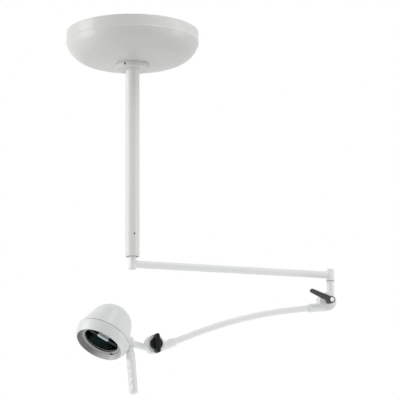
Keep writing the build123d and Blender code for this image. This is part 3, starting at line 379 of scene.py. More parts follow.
# ---------------------------------------------------------------- finishes
def head_distances(made, head):
    """Wires of h, the height over the lip along the head's axis, of r, the distance from it, and
    of x, the way from it towards the arm."""
    def along(way):
        return made.node(
            "ShaderNodeVectorMath", {"operation": "DOT_PRODUCT"}, {0: offset, 1: way}, "Value")

    place = head_seat(head)
    across, back = (tuple(place[:3, column] / MILLIMETRE) for column in (0, 2))
    offset = made.node("ShaderNodeVectorMath", {"operation": "SUBTRACT"}, {
        0: made.place(), 1: tuple(place[:3, 3])})
    height = along(back)
    return height, (along(offset) - height * height) ** 0.5, along(across)


def enamel(name, colour, settings, cast=False, head=None):
    """Stoved enamel: faint clouding, pores of orange peel, dust nibs and a little handling haze.

    On castings a coarser skin shows through the paint. On the head the inner cone is painted grey as
    painted shade, lightening towards the arm's side as painted light, and the seam between bezel and
    shell is painted black as painted shade.
    """
    made = Finish(name)
    clouds = made.noise(9.0, 2.0)
    haze = made.step(made.noise(38.0, 4.0), 0.52, 0.74)
    specks = made.step(made.cells(260.0), 0.045, 0.02)
    base = made.mix(clouds, tint(colour, 0.97), tint(colour, 1.02))
    base = made.mix(haze * 0.3, base, tint(colour, 0.95))
    base = made.mix(specks * 0.25, base, tint(colour, 0.72))
    if head:
        height, radius, across = head_distances(made, head)
        # Painted shade: the inner cone is grey, turning to a paler painted light towards the arm.
        grey = made.mix(made.step(across, *CONE_SHADE_FADE), tint(settings.cone_shade_grey, 1.0),
                        tint(settings.cone_lit_pale, 1.0))
        cone = made.step(radius + height * CONE_SLOPE, *CONE_EDGE) * made.step(height, *CONE_TOP)
        base = made.mix(cone, base, grey)
        # Painted shade: the seam between bezel and shell is painted black.
        seam = made.step(height, *SEAM_SHADE_LOW) * made.step(height, *SEAM_SHADE_HIGH)
        base = made.mix(seam, base, SHADE_BLACK)
    peel = made.bump(made.noise(620.0, 2.0), 0.00005, settings.orange_peel)
    if cast:
        peel = made.bump(made.noise(170.0, 4.0, 0.65), 0.00012, 0.35, peel)
    peel = made.bump(made.cells(260.0), 0.00002, 0.3, peel)
    rough = settings.enamel_roughness + made.noise(55.0, 3.0) * 0.1 + haze * 0.06
    return made.shade({
        "Base Color": base, "Roughness": rough, "Normal": peel, "Coat Weight": 0.25,
        "Coat Roughness": 0.12, "Specular IOR Level": 0.5})


def plated_steel(name, colour, roughness=0.32):
    """Zinc plate: crystal spangle, drawn lines and dulled patches."""
    made = Finish(name)
    spangle = made.cells(420.0)
    dull = made.step(made.noise(60.0, 5.0), 0.45, 0.68)
    lines = made.noise(900.0, 3.0, stretch=(1.0, 1.0, 0.06))
    base = made.mix(spangle, tint(colour, 0.85), tint(colour, 1.08))
    base = made.mix(dull * 0.5, base, tint(colour, 0.7))
    return made.shade({
        "Base Color": base, "Metallic": 1.0,
        "Roughness": roughness + dull * 0.14 + lines * 0.08,
        "Normal": made.bump(lines, 0.00004, 0.4)})


def black_oxide(name, colour):
    """Blackened steel: brown-grey cast in patches with light rubbed spots."""
    made = Finish(name)
    patches = made.noise(120.0, 4.0)
    rubbed = made.step(made.noise(300.0, 3.0), 0.6, 0.8)
    base = made.mix(patches, tint(colour, 0.8), (0.06, 0.052, 0.045, 1.0))
    base = made.mix(rubbed * 0.4, base, (0.22, 0.22, 0.22, 1.0))
    return made.shade({
        "Base Color": base, "Metallic": 0.85, "Roughness": 0.42 + patches * 0.15,
        "Normal": made.bump(made.noise(800.0), 0.00003, 0.5)})


def bright_chrome(name, colour):
    """Chromium plate: faint polishing lines and fingerprints in the gloss."""
    made = Finish(name)
    lines = made.noise(1500.0, 2.0, stretch=(1.0, 0.08, 1.0))
    prints = made.step(made.noise(90.0, 5.0), 0.5, 0.72)
    return made.shade({
        "Base Color": made.mix(prints * 0.4, tint(colour, 1.0), tint(colour, 0.9)), "Metallic": 1.0,
        "Roughness": 0.07 + lines * 0.05 + prints * 0.08, "Normal": made.bump(lines, 0.00001, 0.3)})


def moulded_plastic(name, colour, grain, roughness, wear, worn_colour, gloss=0.5):
    """Moulded plastic: spark-eroded grain, flow marks and rubbed high spots."""
    made = Finish(name)
    pits = made.cells(grain)
    flow = made.noise(30.0, 3.0, stretch=(1.0, 1.0, 0.35))
    rubbed = made.step(made.noise(75.0, 6.0, 0.7), 0.58, 0.8)
    base = made.mix(flow, tint(colour, 0.93), tint(colour, 1.06))
    base = made.mix(rubbed * wear, base, tint(worn_colour, 1.0))
    skin = made.bump(pits, 0.00006, 0.55)
    skin = made.bump(made.noise(grain * 0.35, 3.0), 0.00004, 0.4, skin)
    return made.shade({
        "Base Color": base, "Roughness": roughness + flow * 0.08 - rubbed * 0.07, "Normal": skin,
        "Specular IOR Level": gloss})


def sintered_bronze(name, colour):
    """Oiled sintered bronze: open pores and dark oil patches."""
    made = Finish(name)
    pores = made.step(made.cells(900.0), 0.25, 0.12)
    oil = made.noise(150.0, 4.0)
    base = made.mix(oil, tint(colour, 0.7), tint(colour, 1.1))
    return made.shade({
        "Base Color": made.mix(pores * 0.8, base, (0.05, 0.03, 0.02, 1.0)), "Metallic": 0.9,
        "Roughness": 0.45 - oil * 0.15, "Normal": made.bump(1 - pores, 0.00006, 0.6)})


def soft_rubber(name, colour):
    """Rubber and fibre: powdery bloom over a fine granular skin."""
    made = Finish(name)
    bloom = made.step(made.noise(110.0, 5.0), 0.45, 0.75)
    grains = made.noise(1300.0, 3.0)
    return made.shade({
        "Base Color": made.mix(bloom * 0.5, tint(colour, 0.85), tint(colour, 1.3)),
        "Roughness": 0.72 + grains * 0.15, "Normal": made.bump(grains, 0.00006, 0.6)})


def ring_enamel(name, colour):
    """Thin sprayed coat on the ring round the glass, rubbed on its high spots."""
    made = Finish(name)
    wear = made.step(made.noise(160.0, 5.0), 0.5, 0.75)
    return made.shade({
        "Base Color": made.mix(wear * 0.4, tint(colour, 1.0), tint(colour, 0.8)),
        "Roughness": 0.38 + wear * 0.1,
        "Normal": made.bump(made.noise(700.0, 2.0), 0.00004, 0.4)})


def shield_aluminium(name, colour, head=None):
    """Satin aluminium with turning lines; on the bracket only its ribbed middle is bare."""
    made = Finish(name)
    lines = made.noise(700.0, 3.0, stretch=(1.0, 0.1, 1.0))
    base = made.mix(lines, tint(colour, 0.85), tint(colour, 1.05))
    if head:
        _, radius, _ = head_distances(made, head)
        bare = made.step(radius, *RIBS)
        base = made.mix(bare, (0.006, 0.006, 0.007, 1.0), base)
    return made.shade({
        "Base Color": base, "Metallic": 0.35, "Roughness": 0.3 + lines * 0.12,
        "Normal": made.bump(lines, 0.00003, 0.4)})


def steatite(name, colour):
    """Unglazed ceramic: fine pits, grey firing marks and a matt body."""
    made = Finish(name)
    pits = made.step(made.cells(1100.0), 0.18, 0.08)
    marks = made.step(made.noise(140.0, 5.0), 0.55, 0.72)
    base = made.mix(marks * 0.4, tint(colour, 1.0), tint(colour, 0.8))
    return made.shade({
        "Base Color": made.mix(pits * 0.5, base, tint(colour, 0.6)), "Roughness": 0.6,
        "Normal": made.bump(1 - pits, 0.00005, 0.5)})


def film_wrap(name, colour):
    """Transformer wrap: overlapped turns of film over the copper below."""
    made = Finish(name)
    turns = made.node("ShaderNodeTexWave", {"wave_type": "BANDS", "bands_direction": "DIAGONAL"}, {
        "Vector": made.place(), "Scale": 46.0, "Distortion": 2.5, "Detail": 2.0})
    base = made.mix(turns, tint(colour, 0.7), tint(colour, 1.4))
    return made.shade({
        "Base Color": base, "Roughness": 0.22 + turns * 0.12, "Normal": made.bump(turns, 0.0003, 0.6)})


def coated_mirror(name, colour):
    """Cold-light reflector coat: dark mirror with faint violet and green bands and dust."""
    made = Finish(name)
    bands = made.noise(26.0, 2.0)
    dust = made.step(made.noise(420.0, 4.0), 0.6, 0.78)
    base = made.node("ShaderNodeValToRGB", {"stops": [
        (0.35, tint(colour, 0.8)), (0.65, tint((colour[0] * 0.8, colour[1] * 1.25, colour[2]), 1.0))]},
        {0: bands})
    return made.shade({
        "Base Color": base, "Metallic": 1.0, "Roughness": 0.24 + dust * 0.03,
        "Normal": made.bump(made.noise(240.0), 0.00001, 0.3)})


def smoked_glass(name, colour, cover):
    """Heat-absorbing glass with an anti-reflection coat and wiping marks."""
    made = Finish(name)
    wiped = made.noise(60.0, 4.0, stretch=(1.0, 0.25, 1.0))
    smears = made.step(wiped, 0.5, 0.8)
    made.material.surface_render_method = "BLENDED"
    return made.shade({
        "Base Color": made.mix(smears * 0.3, tint(colour, 1.0), tint(colour, 1.8)),
        "Roughness": 0.03 + smears * 0.06, "Alpha": cover + smears * 0.04, "Specular IOR Level": 0.0,
        "Normal": made.bump(made.noise(45.0, 2.0), 0.00002, 0.3)})


# ---------------------------------------------------------------- settings
def colour_setting(name, default, description):
    return FloatVectorProperty(
        name=name, default=default, description=description, size=3, subtype="COLOR",
        min=0.0, max=1.0)


def length_setting(name, default, description):
    return FloatProperty(name=name, default=default, description=f"{description}, in millimetres")


def angle_setting(name, default, description):
    return FloatProperty(name=name, default=default, description=f"{description}, in degrees")


def share_setting(name, default, description):
    return FloatProperty(name=name, default=default, min=0.0, max=1.0, description=description)


def power_setting(name, default, description):
    return FloatProperty(
        name=name, default=default, min=0.0, unit="POWER", description=f"Power of the {description}")


class FinishSettings(bpy.types.PropertyGroup):
    """Colours and surface qualities of the finishes."""

    # The canopy's and drop tube's enamels are darker copies of the arms' white enamel: painted shade.
    canopy_shaded_white: colour_setting("Canopy enamel", (0.70, 0.705, 0.67), "Enamel of canopy and collar")
    pole_shaded_white: colour_setting("Drop tube enamel", (0.81, 0.815, 0.775), "Enamel of the drop tube")
    arm_white: colour_setting("Arm enamel", (0.93, 0.93, 0.925), "Enamel of the arms and knuckles")
    cool_white: colour_setting("Head enamel", (0.812, 0.834, 0.820), "Enamel of the lamp head")
    # The cone's grey and its paler arm side are painted shade and painted light, not the enamel's own
    # colour.
    cone_shade_grey: colour_setting("Cone", (0.19, 0.194, 0.186), "Enamel of the cone round the glass")
    cone_lit_pale: colour_setting("Cone, arm side", (0.60, 0.605, 0.59), "Enamel of the cone by the arm")
    ring_grey: colour_setting("Retaining ring", (0.40, 0.41, 0.39), "Enamel of the ring round the glass")
    black_plastic: colour_setting("Black plastic", (0.008, 0.009, 0.010), "Knob and switch")
    lever_grey: colour_setting("Lever plastic", (0.034, 0.035, 0.037), "Clamp lever")
    white_plastic: colour_setting("White plastic", (0.89, 0.89, 0.87), "Handle, cap and plug")
    washer_grey: colour_setting("Washer grey", (0.38, 0.39, 0.39), "Washer, gasket and discs")
    ceramic: colour_setting("Ceramic", (0.8, 0.78, 0.72), "Lamp socket")
    film: colour_setting("Film wrap", (0.10, 0.15, 0.22), "Transformer")
    zinc: colour_setting("Zinc plate", (0.55, 0.56, 0.57), "Plated steel")
    oxide: colour_setting("Black oxide", (0.03, 0.03, 0.032), "Set screws, circlips and clips")
    chrome: colour_setting("Chrome", (0.80, 0.81, 0.82), "Chromium plate")
    satin: colour_setting("Satin aluminium", (0.80, 0.86, 0.86), "Bulb shield and its bracket")
    bronze: colour_setting("Bronze", (0.07, 0.052, 0.038), "Sintered bushes")
    mirror: colour_setting("Mirror coat", (0.010, 0.014, 0.015), "Cold-light reflector")
    quartz: colour_setting("Quartz", (0.8, 0.82, 0.82), "Lamp capsule")
    tungsten: colour_setting("Tungsten", (0.42, 0.41, 0.40), "Filament")
    glass: colour_setting("Front glass", (0.004, 0.006, 0.006), "Heat-absorbing glass")
    enamel_roughness: share_setting("Enamel roughness", 0.36, "Gloss of the enamel")
    orange_peel: share_setting("Orange peel", 0.35, "Depth of the paint's texture")
    glass_cover: share_setting("Glass cover", 0.05, "How much the front glass hides")
    quartz_cover: share_setting("Quartz cover", 0.22, "How much the capsule hides")


class CanopySettings(bpy.types.PropertyGroup):
    """Sizes of the spun ceiling canopy."""

    radius: length_setting("Radius", 202.0, "Radius at the ceiling")
    depth: length_setting("Depth", 103.5, "Ceiling to the lowest point")
    crown: length_setting("Crown radius", 700.0, "Radius of the dish")
    knuckle: length_setting("Knuckle radius", 75.0, "Radius of the turn into the wall")
    slope: angle_setting("Knuckle slope", 73.0, "Slope at the wall")
    wall: length_setting("Wall", 2.0, "Thickness of the sheet")
    bead: length_setting("Bead", 0.9, "How far the bead stands out where the wall begins")
    bead_height: length_setting("Bead height", 3.6, "Height of the bead")
    crease: angle_setting("Crease", 9.0, "Bends sharper than this stay sharp")
    segments: IntProperty(name="Segments", default=288, min=48, description="Facets round the canopy")


class HeadSettings(bpy.types.PropertyGroup):
    """Place of the lamp head's frame and the sizes of its optics."""

    taper: angle_setting("Shell taper", 17.5, "Slope of the side")
    roll: angle_setting("Roll", 15.0, "Turn about the yoke at rest")
    port_height: length_setting("Port height", 35.0, "Lip to the yoke's axis")
    ring_inner: length_setting("Ring inside", 53.2, "Inner radius of the retaining ring")
    ring_outer: length_setting("Ring outside", 62.3, "Outer radius of the retaining ring")
    ring_front: length_setting("Ring front", 13.4, "Lip to the front of the retaining ring")
    ring_back: length_setting("Ring back", 15.95, "Lip to the back of the retaining ring")
    mouth: length_setting("Reflector mouth", 54.0, "Radius of the reflector's mouth")
    reflector_low: length_setting("Reflector front", 26.0, "Lip to the mouth of the reflector")
    reflector_depth: length_setting("Reflector depth", 56.0, "Depth of the reflector")
    flutes: IntProperty(name="Flutes", default=36, min=8, description="Light-spreading flutes")
    flute_depth: length_setting("Flute depth", 0.06, "Height of a flute")


class HandleSettings(bpy.types.PropertyGroup):
    """Sizes of the moulded handle."""

    radius: length_setting("Radius", 13.0, "Radius of the grip")
    length: length_setting("Length", 126.0, "Length of the grip")
    tilt: angle_setting("Tilt", 30.0, "Outward tilt from the head's axis")
    top_radius: length_setting("Top radius", 94.3, "Head axis to the top of the grip")
    top_height: length_setting("Top height", 30.0, "Lip to the top of the grip")
    pitch: length_setting("Wave pitch", 24.0, "Distance between finger waves")
    depth: length_setting("Wave depth", 3.0, "Depth of a finger wave")
    land: length_setting("Wave land", 4.0, "Flat between two waves")
    tip_round: length_setting("Tip round", 6.0, "Rounding of the free end")
    waves: IntProperty(name="Waves", default=4, min=1, description="Number of finger waves")
    wave_turn: angle_setting("Wave turn", -22.0, "Turn of the waves to the front")


class LeverSettings(bpy.types.PropertyGroup):
    """Sizes of the elbow's clamp lever."""

    angle: angle_setting("Angle", 158.5, "Rest angle, from +X to +Z")
    reach: length_setting("Reach", 68.0, "Hub axis to the middle of the tip")
    height: length_setting("Hub height", 30.0, "Height of the hub")
    thickness: length_setting("Arm thickness", 11.0, "Thickness of the arm")


class KnobSettings(bpy.types.PropertyGroup):
    """Sizes of the wrist's wing knob."""

    angle: angle_setting("Angle", 94.0, "Rest angle, from +X to +Z")
    radius: length_setting("Radius", 19.0, "Radius of the base")
    base: length_setting("Base height", 13.0, "Height of the base")
    wing: length_setting("Wing length", 58.0, "Length over both wings")
    rise: length_setting("Wing height", 15.0, "Height of the wings above the base")


class StageSettings(bpy.types.PropertyGroup):
    """Camera, lamps, floor and room light."""

    azimuth: angle_setting("Azimuth", 19.5, "Camera's turn to the right of straight ahead")
    pitch: angle_setting("Pitch", 12.0, "Camera's look upwards")
    lens_roll: angle_setting("Roll", 0.375, "Camera's turn about its own view")
    lens: FloatProperty(name="Lens", default=180.0, description="Focal length, in millimetres")
    key: power_setting("Key", 32.0, "left lamp")
    side: power_setting("Side", 16.0, "right lamp")
    front: power_setting("Front", 1.5, "front lamp")
    low: power_setting("Low", 10.0, "lamp below")
    top: power_setting("Top", 10.5, "lamp above")
    ambient: FloatProperty(name="Ambient", default=0.43, min=0.0, description="Light from the room")
    floor: FloatProperty(name="Floor", default=-2.7, unit="LENGTH", description="Height of the floor")


# ---------------------------------------------------------------- shapes
def canopy_outline(settings):
    """Outside and inside of the dish: a flat crown arc, a tight knuckle arc, a bead and the wall."""
    def run(offset, steps):
        crown, knuckle = settings.crown - offset, settings.knuckle - offset
        across = settings.radius - 1.0 - settings.knuckle * math.sin(math.radians(settings.slope))
        top = -settings.depth + settings.crown
        drop = math.sqrt((settings.crown - settings.knuckle) ** 2 - across ** 2)
        turn = math.degrees(math.atan2(across, drop))
        bore = math.degrees(math.asin(COLLAR_BORE / crown))
        dish = arc_points((0, top), crown, -90 + bore, -90 + turn, steps)
        bend = arc_points((across, top - drop), knuckle, -90 + turn, -90 + settings.slope, steps // 2)
        return dish, bend[1:]

    dish, bend = run(0.0, 48)
    inner_dish, inner_bend = run(settings.wall, 48)
    edge = bend[-1]
    rim = np.array([settings.radius, -0.5])
    out, tall = settings.bead, settings.bead_height
    wall = rounded([bend[-2], edge, edge + (out, 0.25 * tall), edge + (out, 0.75 * tall),
                    edge + (0, tall), rim, rim - (settings.wall, 0), inner_bend[-1]],
                   [0, 0.6, 0.8, 0.8, 0.6, 0.7, 0.7, 0], 6, 6.0)
    return np.concatenate([dish, bend[:-2], wall, inner_bend[::-1][1:], inner_dish[::-1]])


def handle_surface(settings):
    """A round bar with a rounded tip; on the side away from the wrist its x is held above a limit
    that dips into parabolas, one for each finger wave, through a soft maximum."""
    outline = rounded(
        [(0.0, 0.1), (settings.radius, 0.1), (settings.radius, settings.length),
         (0.0, settings.length)], [0, 1.2, settings.tip_round, 0], 10, 0.9)
    points, closed, wrap = lathe(outline, 144)
    half = (settings.pitch - settings.land) / 2
    bend = half ** 2 / (2 * settings.depth) + settings.depth / 2
    first = settings.length - settings.tip_round - settings.pitch * (settings.waves - 0.5)
    centres = first + settings.pitch * np.arange(settings.waves)
    height = points[..., 2]
    away = np.abs(height[..., None] - centres).min(axis=-1)
    depth = settings.depth - away ** 2 / (2 * bend)
    limit = -(settings.radius - depth)
    soft = 0.28
    points[..., 0] = limit + soft * np.logaddexp(0.0, (points[..., 0] - limit) / soft)
    side = np.arctan2(points[..., 1], points[..., 0])
    parting = np.exp(-((np.abs(side) - math.pi / 2) * settings.radius / 0.35) ** 2)
    body = np.clip((height - 2) / 3, 0, 1) * np.clip((settings.length - 4 - height) / 3, 0, 1)
    points[..., :2] *= (1 + 0.12 * parting * body / settings.radius)[..., None]
    turn = math.radians(settings.wave_turn)
    x, y = points[..., 0].copy(), points[..., 1].copy()
    points[..., 0] = x * math.cos(turn) - y * math.sin(turn)
    points[..., 1] = x * math.sin(turn) + y * math.cos(turn)
    return points, closed, wrap


def wing_shapes(settings):
    """Base disc with a rounded shoulder and shallow flutes, and a waisted bar across it."""
    top = FRONT_FACE + settings.base
    base = rounded([(0, FRONT_FACE), (settings.radius - 1.0, FRONT_FACE),
                    (settings.radius, FRONT_FACE + 3.0), (settings.radius, top), (0, top + 0.4)],
                   [0, 0.6, 1.0, 2.6, 0], 8, 1.5)
    disc, closed, wrap = lathe(base, 180)
    angle = np.arctan2(disc[..., 1], disc[..., 0])
    rise = disc[..., 2]
    band = np.clip((rise - FRONT_FACE - 2) / 1.5, 0, 1) * np.clip((top - 2 - rise) / 1.5, 0, 1)
    edge = np.clip((np.hypot(disc[..., 0], disc[..., 1]) - settings.radius + 2.0) / 2.0, 0, 1)
    disc[..., :2] *= (1 - 0.022 * band * edge * (0.5 - 0.5 * np.cos(20 * angle)))[..., None]
    tip = settings.wing / 2 - 6.5
    low, high = FRONT_FACE + 4.0, top + settings.rise
    side, shoulder = np.linspace(0, 1, 24), np.radians(np.linspace(0, 90, 12))
    bar = np.concatenate([
        points_from(np.linspace(1, 0.02, 5), low),
        points_from(0.02 + 0.03 * side, low + (high - 3.2 - low) * side),
        points_from(0.05 + 0.40 * (1 - np.cos(shoulder)), high - 3.2 + 2.6 * np.sin(shoulder)),
        points_from(0.45 + 0.55 * side, high - 0.6 + 0.6 * (1 - (1 - side) ** 2))])

    def waist(x, height):
        grip = np.exp(-((np.abs(x) - tip * 0.62) / 7.0) ** 2)
        return 0.08 * grip * np.clip((height - low - 6) / 6, 0, 1)

    wing = pillow([(0, 0, 8.5), (tip, 0, 6.5), (-tip, 0, 6.5)], bar, 240, waist)
    return [(disc, closed, wrap), wing]


def lever_shapes(settings):
    """Stepped hub and a tapering arm with full rounds and a shallow thumb hollow on its face."""
    base, top = FRONT_FACE, FRONT_FACE + settings.height
    low = top - settings.thickness
    hub = rounded([(0, base), (8.5, base), (8.5, low - 4.2), (10.5, low - 4.0), (10.5, top), (7.6, top),
                   (7.3, top - 0.8), (0, top - 0.8)], [0, 0.8, 0.5, 1.2, 1.4, 0.3, 0.2, 0], 8, 1.2)
    side, upper = np.linspace(0, 1, 12), np.radians(np.linspace(0, 90, 12))
    lower = np.radians(np.linspace(90, 0, 12))
    arm = np.concatenate([
        points_from(1 - 0.55 * side, low),
        points_from(0.45 * (1 - np.cos(lower)), low + 3.0 * (1 - np.sin(lower))),
        points_from(0.0, low + 3.0 + (settings.thickness - 6.0) * side),
        points_from(0.45 * (1 - np.cos(upper)), top - 3.0 + 3.0 * np.sin(upper)),
        points_from(0.45 + 0.55 * side, top - 0.5 * side ** 2)])
    return [lathe(hub, 128), pillow([(0, 0, 9.5), (settings.reach, 0, 6.25)], arm, 200)]


def reflector_surface(settings):
    """Paraboloid z = apex - depth (r / mouth)^2 with flutes whose height grows with the radius."""
    apex = settings.reflector_low + settings.reflector_depth
    radius = np.linspace(15.2, settings.mouth, 72)
    height = apex - settings.reflector_depth * (radius / settings.mouth) ** 2
    inner = points_from(radius, height - 1.4)
    inner = inner[inner[:, 1] > settings.reflector_low - 0.3]
    low = settings.reflector_low - 1.9
    rim = rounded([inner[-1], (settings.mouth - 1.0, low), (settings.mouth + 5.0, low),
                   (settings.mouth + 5.0, low + 1.6), (settings.mouth + 1.2, low + 1.6)],
                  [0, 0.5, 0.6, 0.6, 0], 5)
    outer = points_from(radius, height)[::-1]
    outline = np.concatenate([inner, rim[1:], outer[1:]])
    points, closed, wrap = lathe(outline, 6 * settings.flutes, closed=True)
    angle = np.arctan2(points[..., 1], points[..., 0])
    reach = np.hypot(points[..., 0], points[..., 1])
    front = np.zeros(len(outline))
    front[:len(inner)] = np.clip((settings.mouth - inner[:, 0]) / 4, 0, 1)
    ripple = settings.flute_depth * np.abs(np.sin(angle * settings.flutes / 2)) * reach / settings.mouth
    points[..., 2] -= ripple * front[:, None]
    return points, closed, wrap


def ring_surface(settings):
    """Dished ring: a flat seat for the clips outside, then a slope down to a thin edge on the glass."""
    front, back = settings.ring_front, settings.ring_back
    outline = rounded(
        [(settings.ring_inner, back), (settings.ring_inner, back - 0.7),
         (settings.ring_outer - 4.2, front), (settings.ring_outer, front), (settings.ring_outer, back)],
        [0, 0.3, 1.0, 0.6, 0], 5, 1.0)
    return lathe(outline, 200, closed=True)


def bulb_shapes(settings):
    """Quartz capsule with a pinched foot and two pins."""
    top = settings.reflector_low + settings.reflector_depth - 3.0
    glass = rounded([(0, top - 30.0), (1.6, top - 29.6), (5.5, top - 26.5), (5.5, top - 9.0),
                     (4.3, top - 7.0), (4.3, top), (0, top)], [0, 1.0, 4.0, 2.0, 1.0, 0.4, 0], 8, 1.0)
    shapes = [lathe(glass, 64)]
    for side in (-1, 1):
        pin = np.array([[side * 3.175, 0, top - 1.0], [side * 3.175, 0, top + 8.0]])
        shapes.append(tube_along(pin, 0.6, False, 16))
    return shapes


def filament_shapes(settings):
    """Coil across the capsule: x runs along it while y and z turn, on two support wires."""
    top = settings.reflector_low + settings.reflector_depth - 3.0
    turn = np.linspace(0, 2 * np.pi * 9, 260)
    coil = points_from(
        -2.6 + 5.2 * turn / turn[-1], 0.9 * np.cos(turn), top - 20.0 + 0.9 * np.sin(turn))
    shapes = [tube_along(coil, 0.16, False, 8)]
    for end, side in ((coil[0], -1), (coil[-1], 1)):
        wire = np.stack([end, (side * 3.0, 0.0, top - 16.0), (side * 3.0, 0.0, top - 2.0)])
        shapes.append(tube_along(wire, 0.25, False, 8))
    return shapes


def weld_shapes(upright_bar, x, facing):
    """Bead where the arm's tube meets an upright one: x = sqrt(b^2 - y^2) round the arm."""
    angle = np.linspace(0, 2 * np.pi, 240, endpoint=False)
    y = ARM_BAR * np.cos(angle)
    line = points_from(x + facing * np.sqrt(upright_bar ** 2 - y ** 2), y, ARM_BAR * np.sin(angle))
    ripple = WELD * (1 + 0.12 * np.sin(36 * angle))
    return tube_along(line, ripple, True, 12)


# ---------------------------------------------------------------- operators
class Step(bpy.types.Operator):
    """Shared base: finishes are kept by name so that later steps can use them."""

    bl_options = {"REGISTER", "UNDO"}
    made = {}

    def dress(self, material, *nodes):
        for name in nodes:
            mesh = frame["nodes"][name].data
            mesh.materials.clear()
            mesh.materials.append(material)


class DENTAL_OT_enamel(Step):
    """Enamel of the canopy, tubes, knuckles and lamp head"""

    bl_idname = "dental_light.enamel"
    bl_label = "Enamel"

    def execute(self, context):
        settings, made = context.scene.dental_finishes, Step.made
        arms, cool = settings.arm_white, settings.cool_white
        # Canopy, collar and drop tube take darker copies of the arms' enamel as painted shade.
        made["canopy"] = enamel("enamel_canopy", settings.canopy_shaded_white, settings)
        made["cast"] = enamel("enamel_castings", arms, settings, cast=True)
        made["ring"] = ring_enamel("enamel_retaining_ring", settings.ring_grey)
        self.dress(made["canopy"], "canopy_collar")
        self.dress(made["cast"], "arm_end_socket", "elbow_rear_knuckle", "elbow_front_knuckle",
                   "wrist_rear_knuckle", "wrist_front_knuckle", "arm_socket_pins")
        self.dress(enamel("enamel_drop_tube", settings.pole_shaded_white, settings), "drop_tube")
        self.dress(enamel("enamel_tubes", arms, settings),
                   "swing_spindle", "swing_arm_tube", "lower_arm_tube")
        self.dress(enamel("enamel_head", cool, settings), "head_collar")
        self.dress(enamel("enamel_bell", cool, settings, head=context.scene.dental_head),
                   "rear_shell", "bezel_ring")
        return {"FINISHED"}


class DENTAL_OT_metals(Step):
    """Zinc plate, black oxide, chrome and bronze"""

    bl_idname = "dental_light.metals"
    bl_label = "Metals"

    def execute(self, context):
        settings, head = context.scene.dental_finishes, context.scene.dental_head
        self.dress(plated_steel("zinc_plate", settings.zinc), "ceiling_plate", "tube_flange",
                   "flange_bolts", "tube_set_bolts", "transformer_bolt", "terminal_block_screws",
                   "elbow_bolt", "wrist_bolt", "swivel_pin", "head_spindle", "handle_stud",
                   "lamp_carrier", "spindle_housing", "hub_nut")
        self.dress(black_oxide("black_oxide", settings.oxide), "collar_set_screw",
                   "swing_stop_screw", "swing_stop_pin", "spindle_circlip", "swivel_circlip",
                   "hub_circlip", "retaining_clips", "bezel_screws")
        self.dress(bright_chrome("chromium_plate", settings.chrome), "lever_cap_screw")
        self.dress(sintered_bronze("sintered_bronze", settings.bronze), "spindle_bushes", "swivel_bushes")
        self.dress(shield_aluminium("shield_aluminium", settings.satin), "bulb_shield")
        self.dress(shield_aluminium("bracket_aluminium", settings.satin, head), "shield_bracket")
        return {"FINISHED"}


class DENTAL_OT_plastics(Step):
    """Moulded plastic, rubber, fibre, ceramic and film"""

    bl_idname = "dental_light.plastics"
    bl_label = "Plastics"

    def execute(self, context):
        settings, made = context.scene.dental_finishes, Step.made
        made["knob"] = moulded_plastic(
            "black_moulding", settings.black_plastic, 900.0, 0.38, 0.15, (0.02, 0.02, 0.021), 0.16)
        made["lever"] = moulded_plastic(
            "lever_moulding", settings.lever_grey, 700.0, 0.5, 0.3, (0.10, 0.10, 0.10))
        made["white"] = moulded_plastic(
            "white_moulding", settings.white_plastic, 800.0, 0.38, 0.2, (0.88, 0.87, 0.83))
        self.dress(made["knob"], "switch_body", "switch_rocker")
        self.dress(made["white"], "arm_end_cap", "spindle_plug", "terminal_block")
        self.dress(soft_rubber("grey_rubber", settings.washer_grey), "swivel_washer",
                   "elbow_friction_disc", "wrist_friction_disc", "glass_gasket")
        self.dress(steatite("steatite", settings.ceramic), "lamp_socket")
        self.dress(film_wrap("film_wrap", settings.film), "transformer")
        return {"FINISHED"}


class DENTAL_OT_optics(Step):
    """Front glass, fluted reflector and halogen capsule"""

    bl_idname = "dental_light.optics"
    bl_label = "Optics"

    def execute(self, context):
        finish, head = context.scene.dental_finishes, context.scene.dental_head
        self.dress(smoked_glass("heat_glass", finish.glass, finish.glass_cover), "front_glass")
        pieces = (
            ("reflector_bowl", [reflector_surface(head)], ["reflector"], "reflector_mirror",
             coated_mirror("cold_mirror", finish.mirror)),
            ("glass_ring_pressing", [ring_surface(head)], ["glass_retaining_ring"], "head_enamel",
             Step.made["ring"]),
            ("halogen_capsule", bulb_shapes(head), ["halogen_bulb"], "clear_glass",
             smoked_glass("quartz", finish.quartz, finish.quartz_cover)),
            ("lamp_filament", filament_shapes(head), [], "zinc_steel",
             plated_steel("tungsten", finish.tungsten, 0.38)))
        for name, shapes, nodes, slot, material in pieces:
            make_piece(name, shapes, head_seat(head), "lamp_head", nodes, material)
        return {"FINISHED"}


class DENTAL_OT_canopy(Step):
    """Spun ceiling canopy"""

    bl_idname = "dental_light.canopy"
    bl_label = "Canopy"

    def execute(self, context):
        settings = context.scene.dental_canopy
        spinning = lathe(canopy_outline(settings), settings.segments, closed=True)
        make_piece("canopy_spinning", [spinning], upright(0.0), "ceiling_mount", ["canopy_cover"],
                   Step.made["canopy"], settings.crease)
        return {"FINISHED"}


class DENTAL_OT_welds(Step):
    """Painted weld beads at both ends of the swing arm"""

    bl_idname = "dental_light.welds"
    bl_label = "Arm welds"

    def execute(self, context):
        low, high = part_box("swing_arm_tube")
        far = joints["elbow_swivel"]["pos_m"][0] / MILLIMETRE
        grids = [weld_shapes(SPINDLE_BAR, 0.0, 1), weld_shapes(SOCKET_BAR, far, -1)]
        make_piece("swing_arm_welds", grids, upright((low[2] + high[2]) / 2), "swing_arm", [],
                   Step.made["cast"])
        return {"FINISHED"}


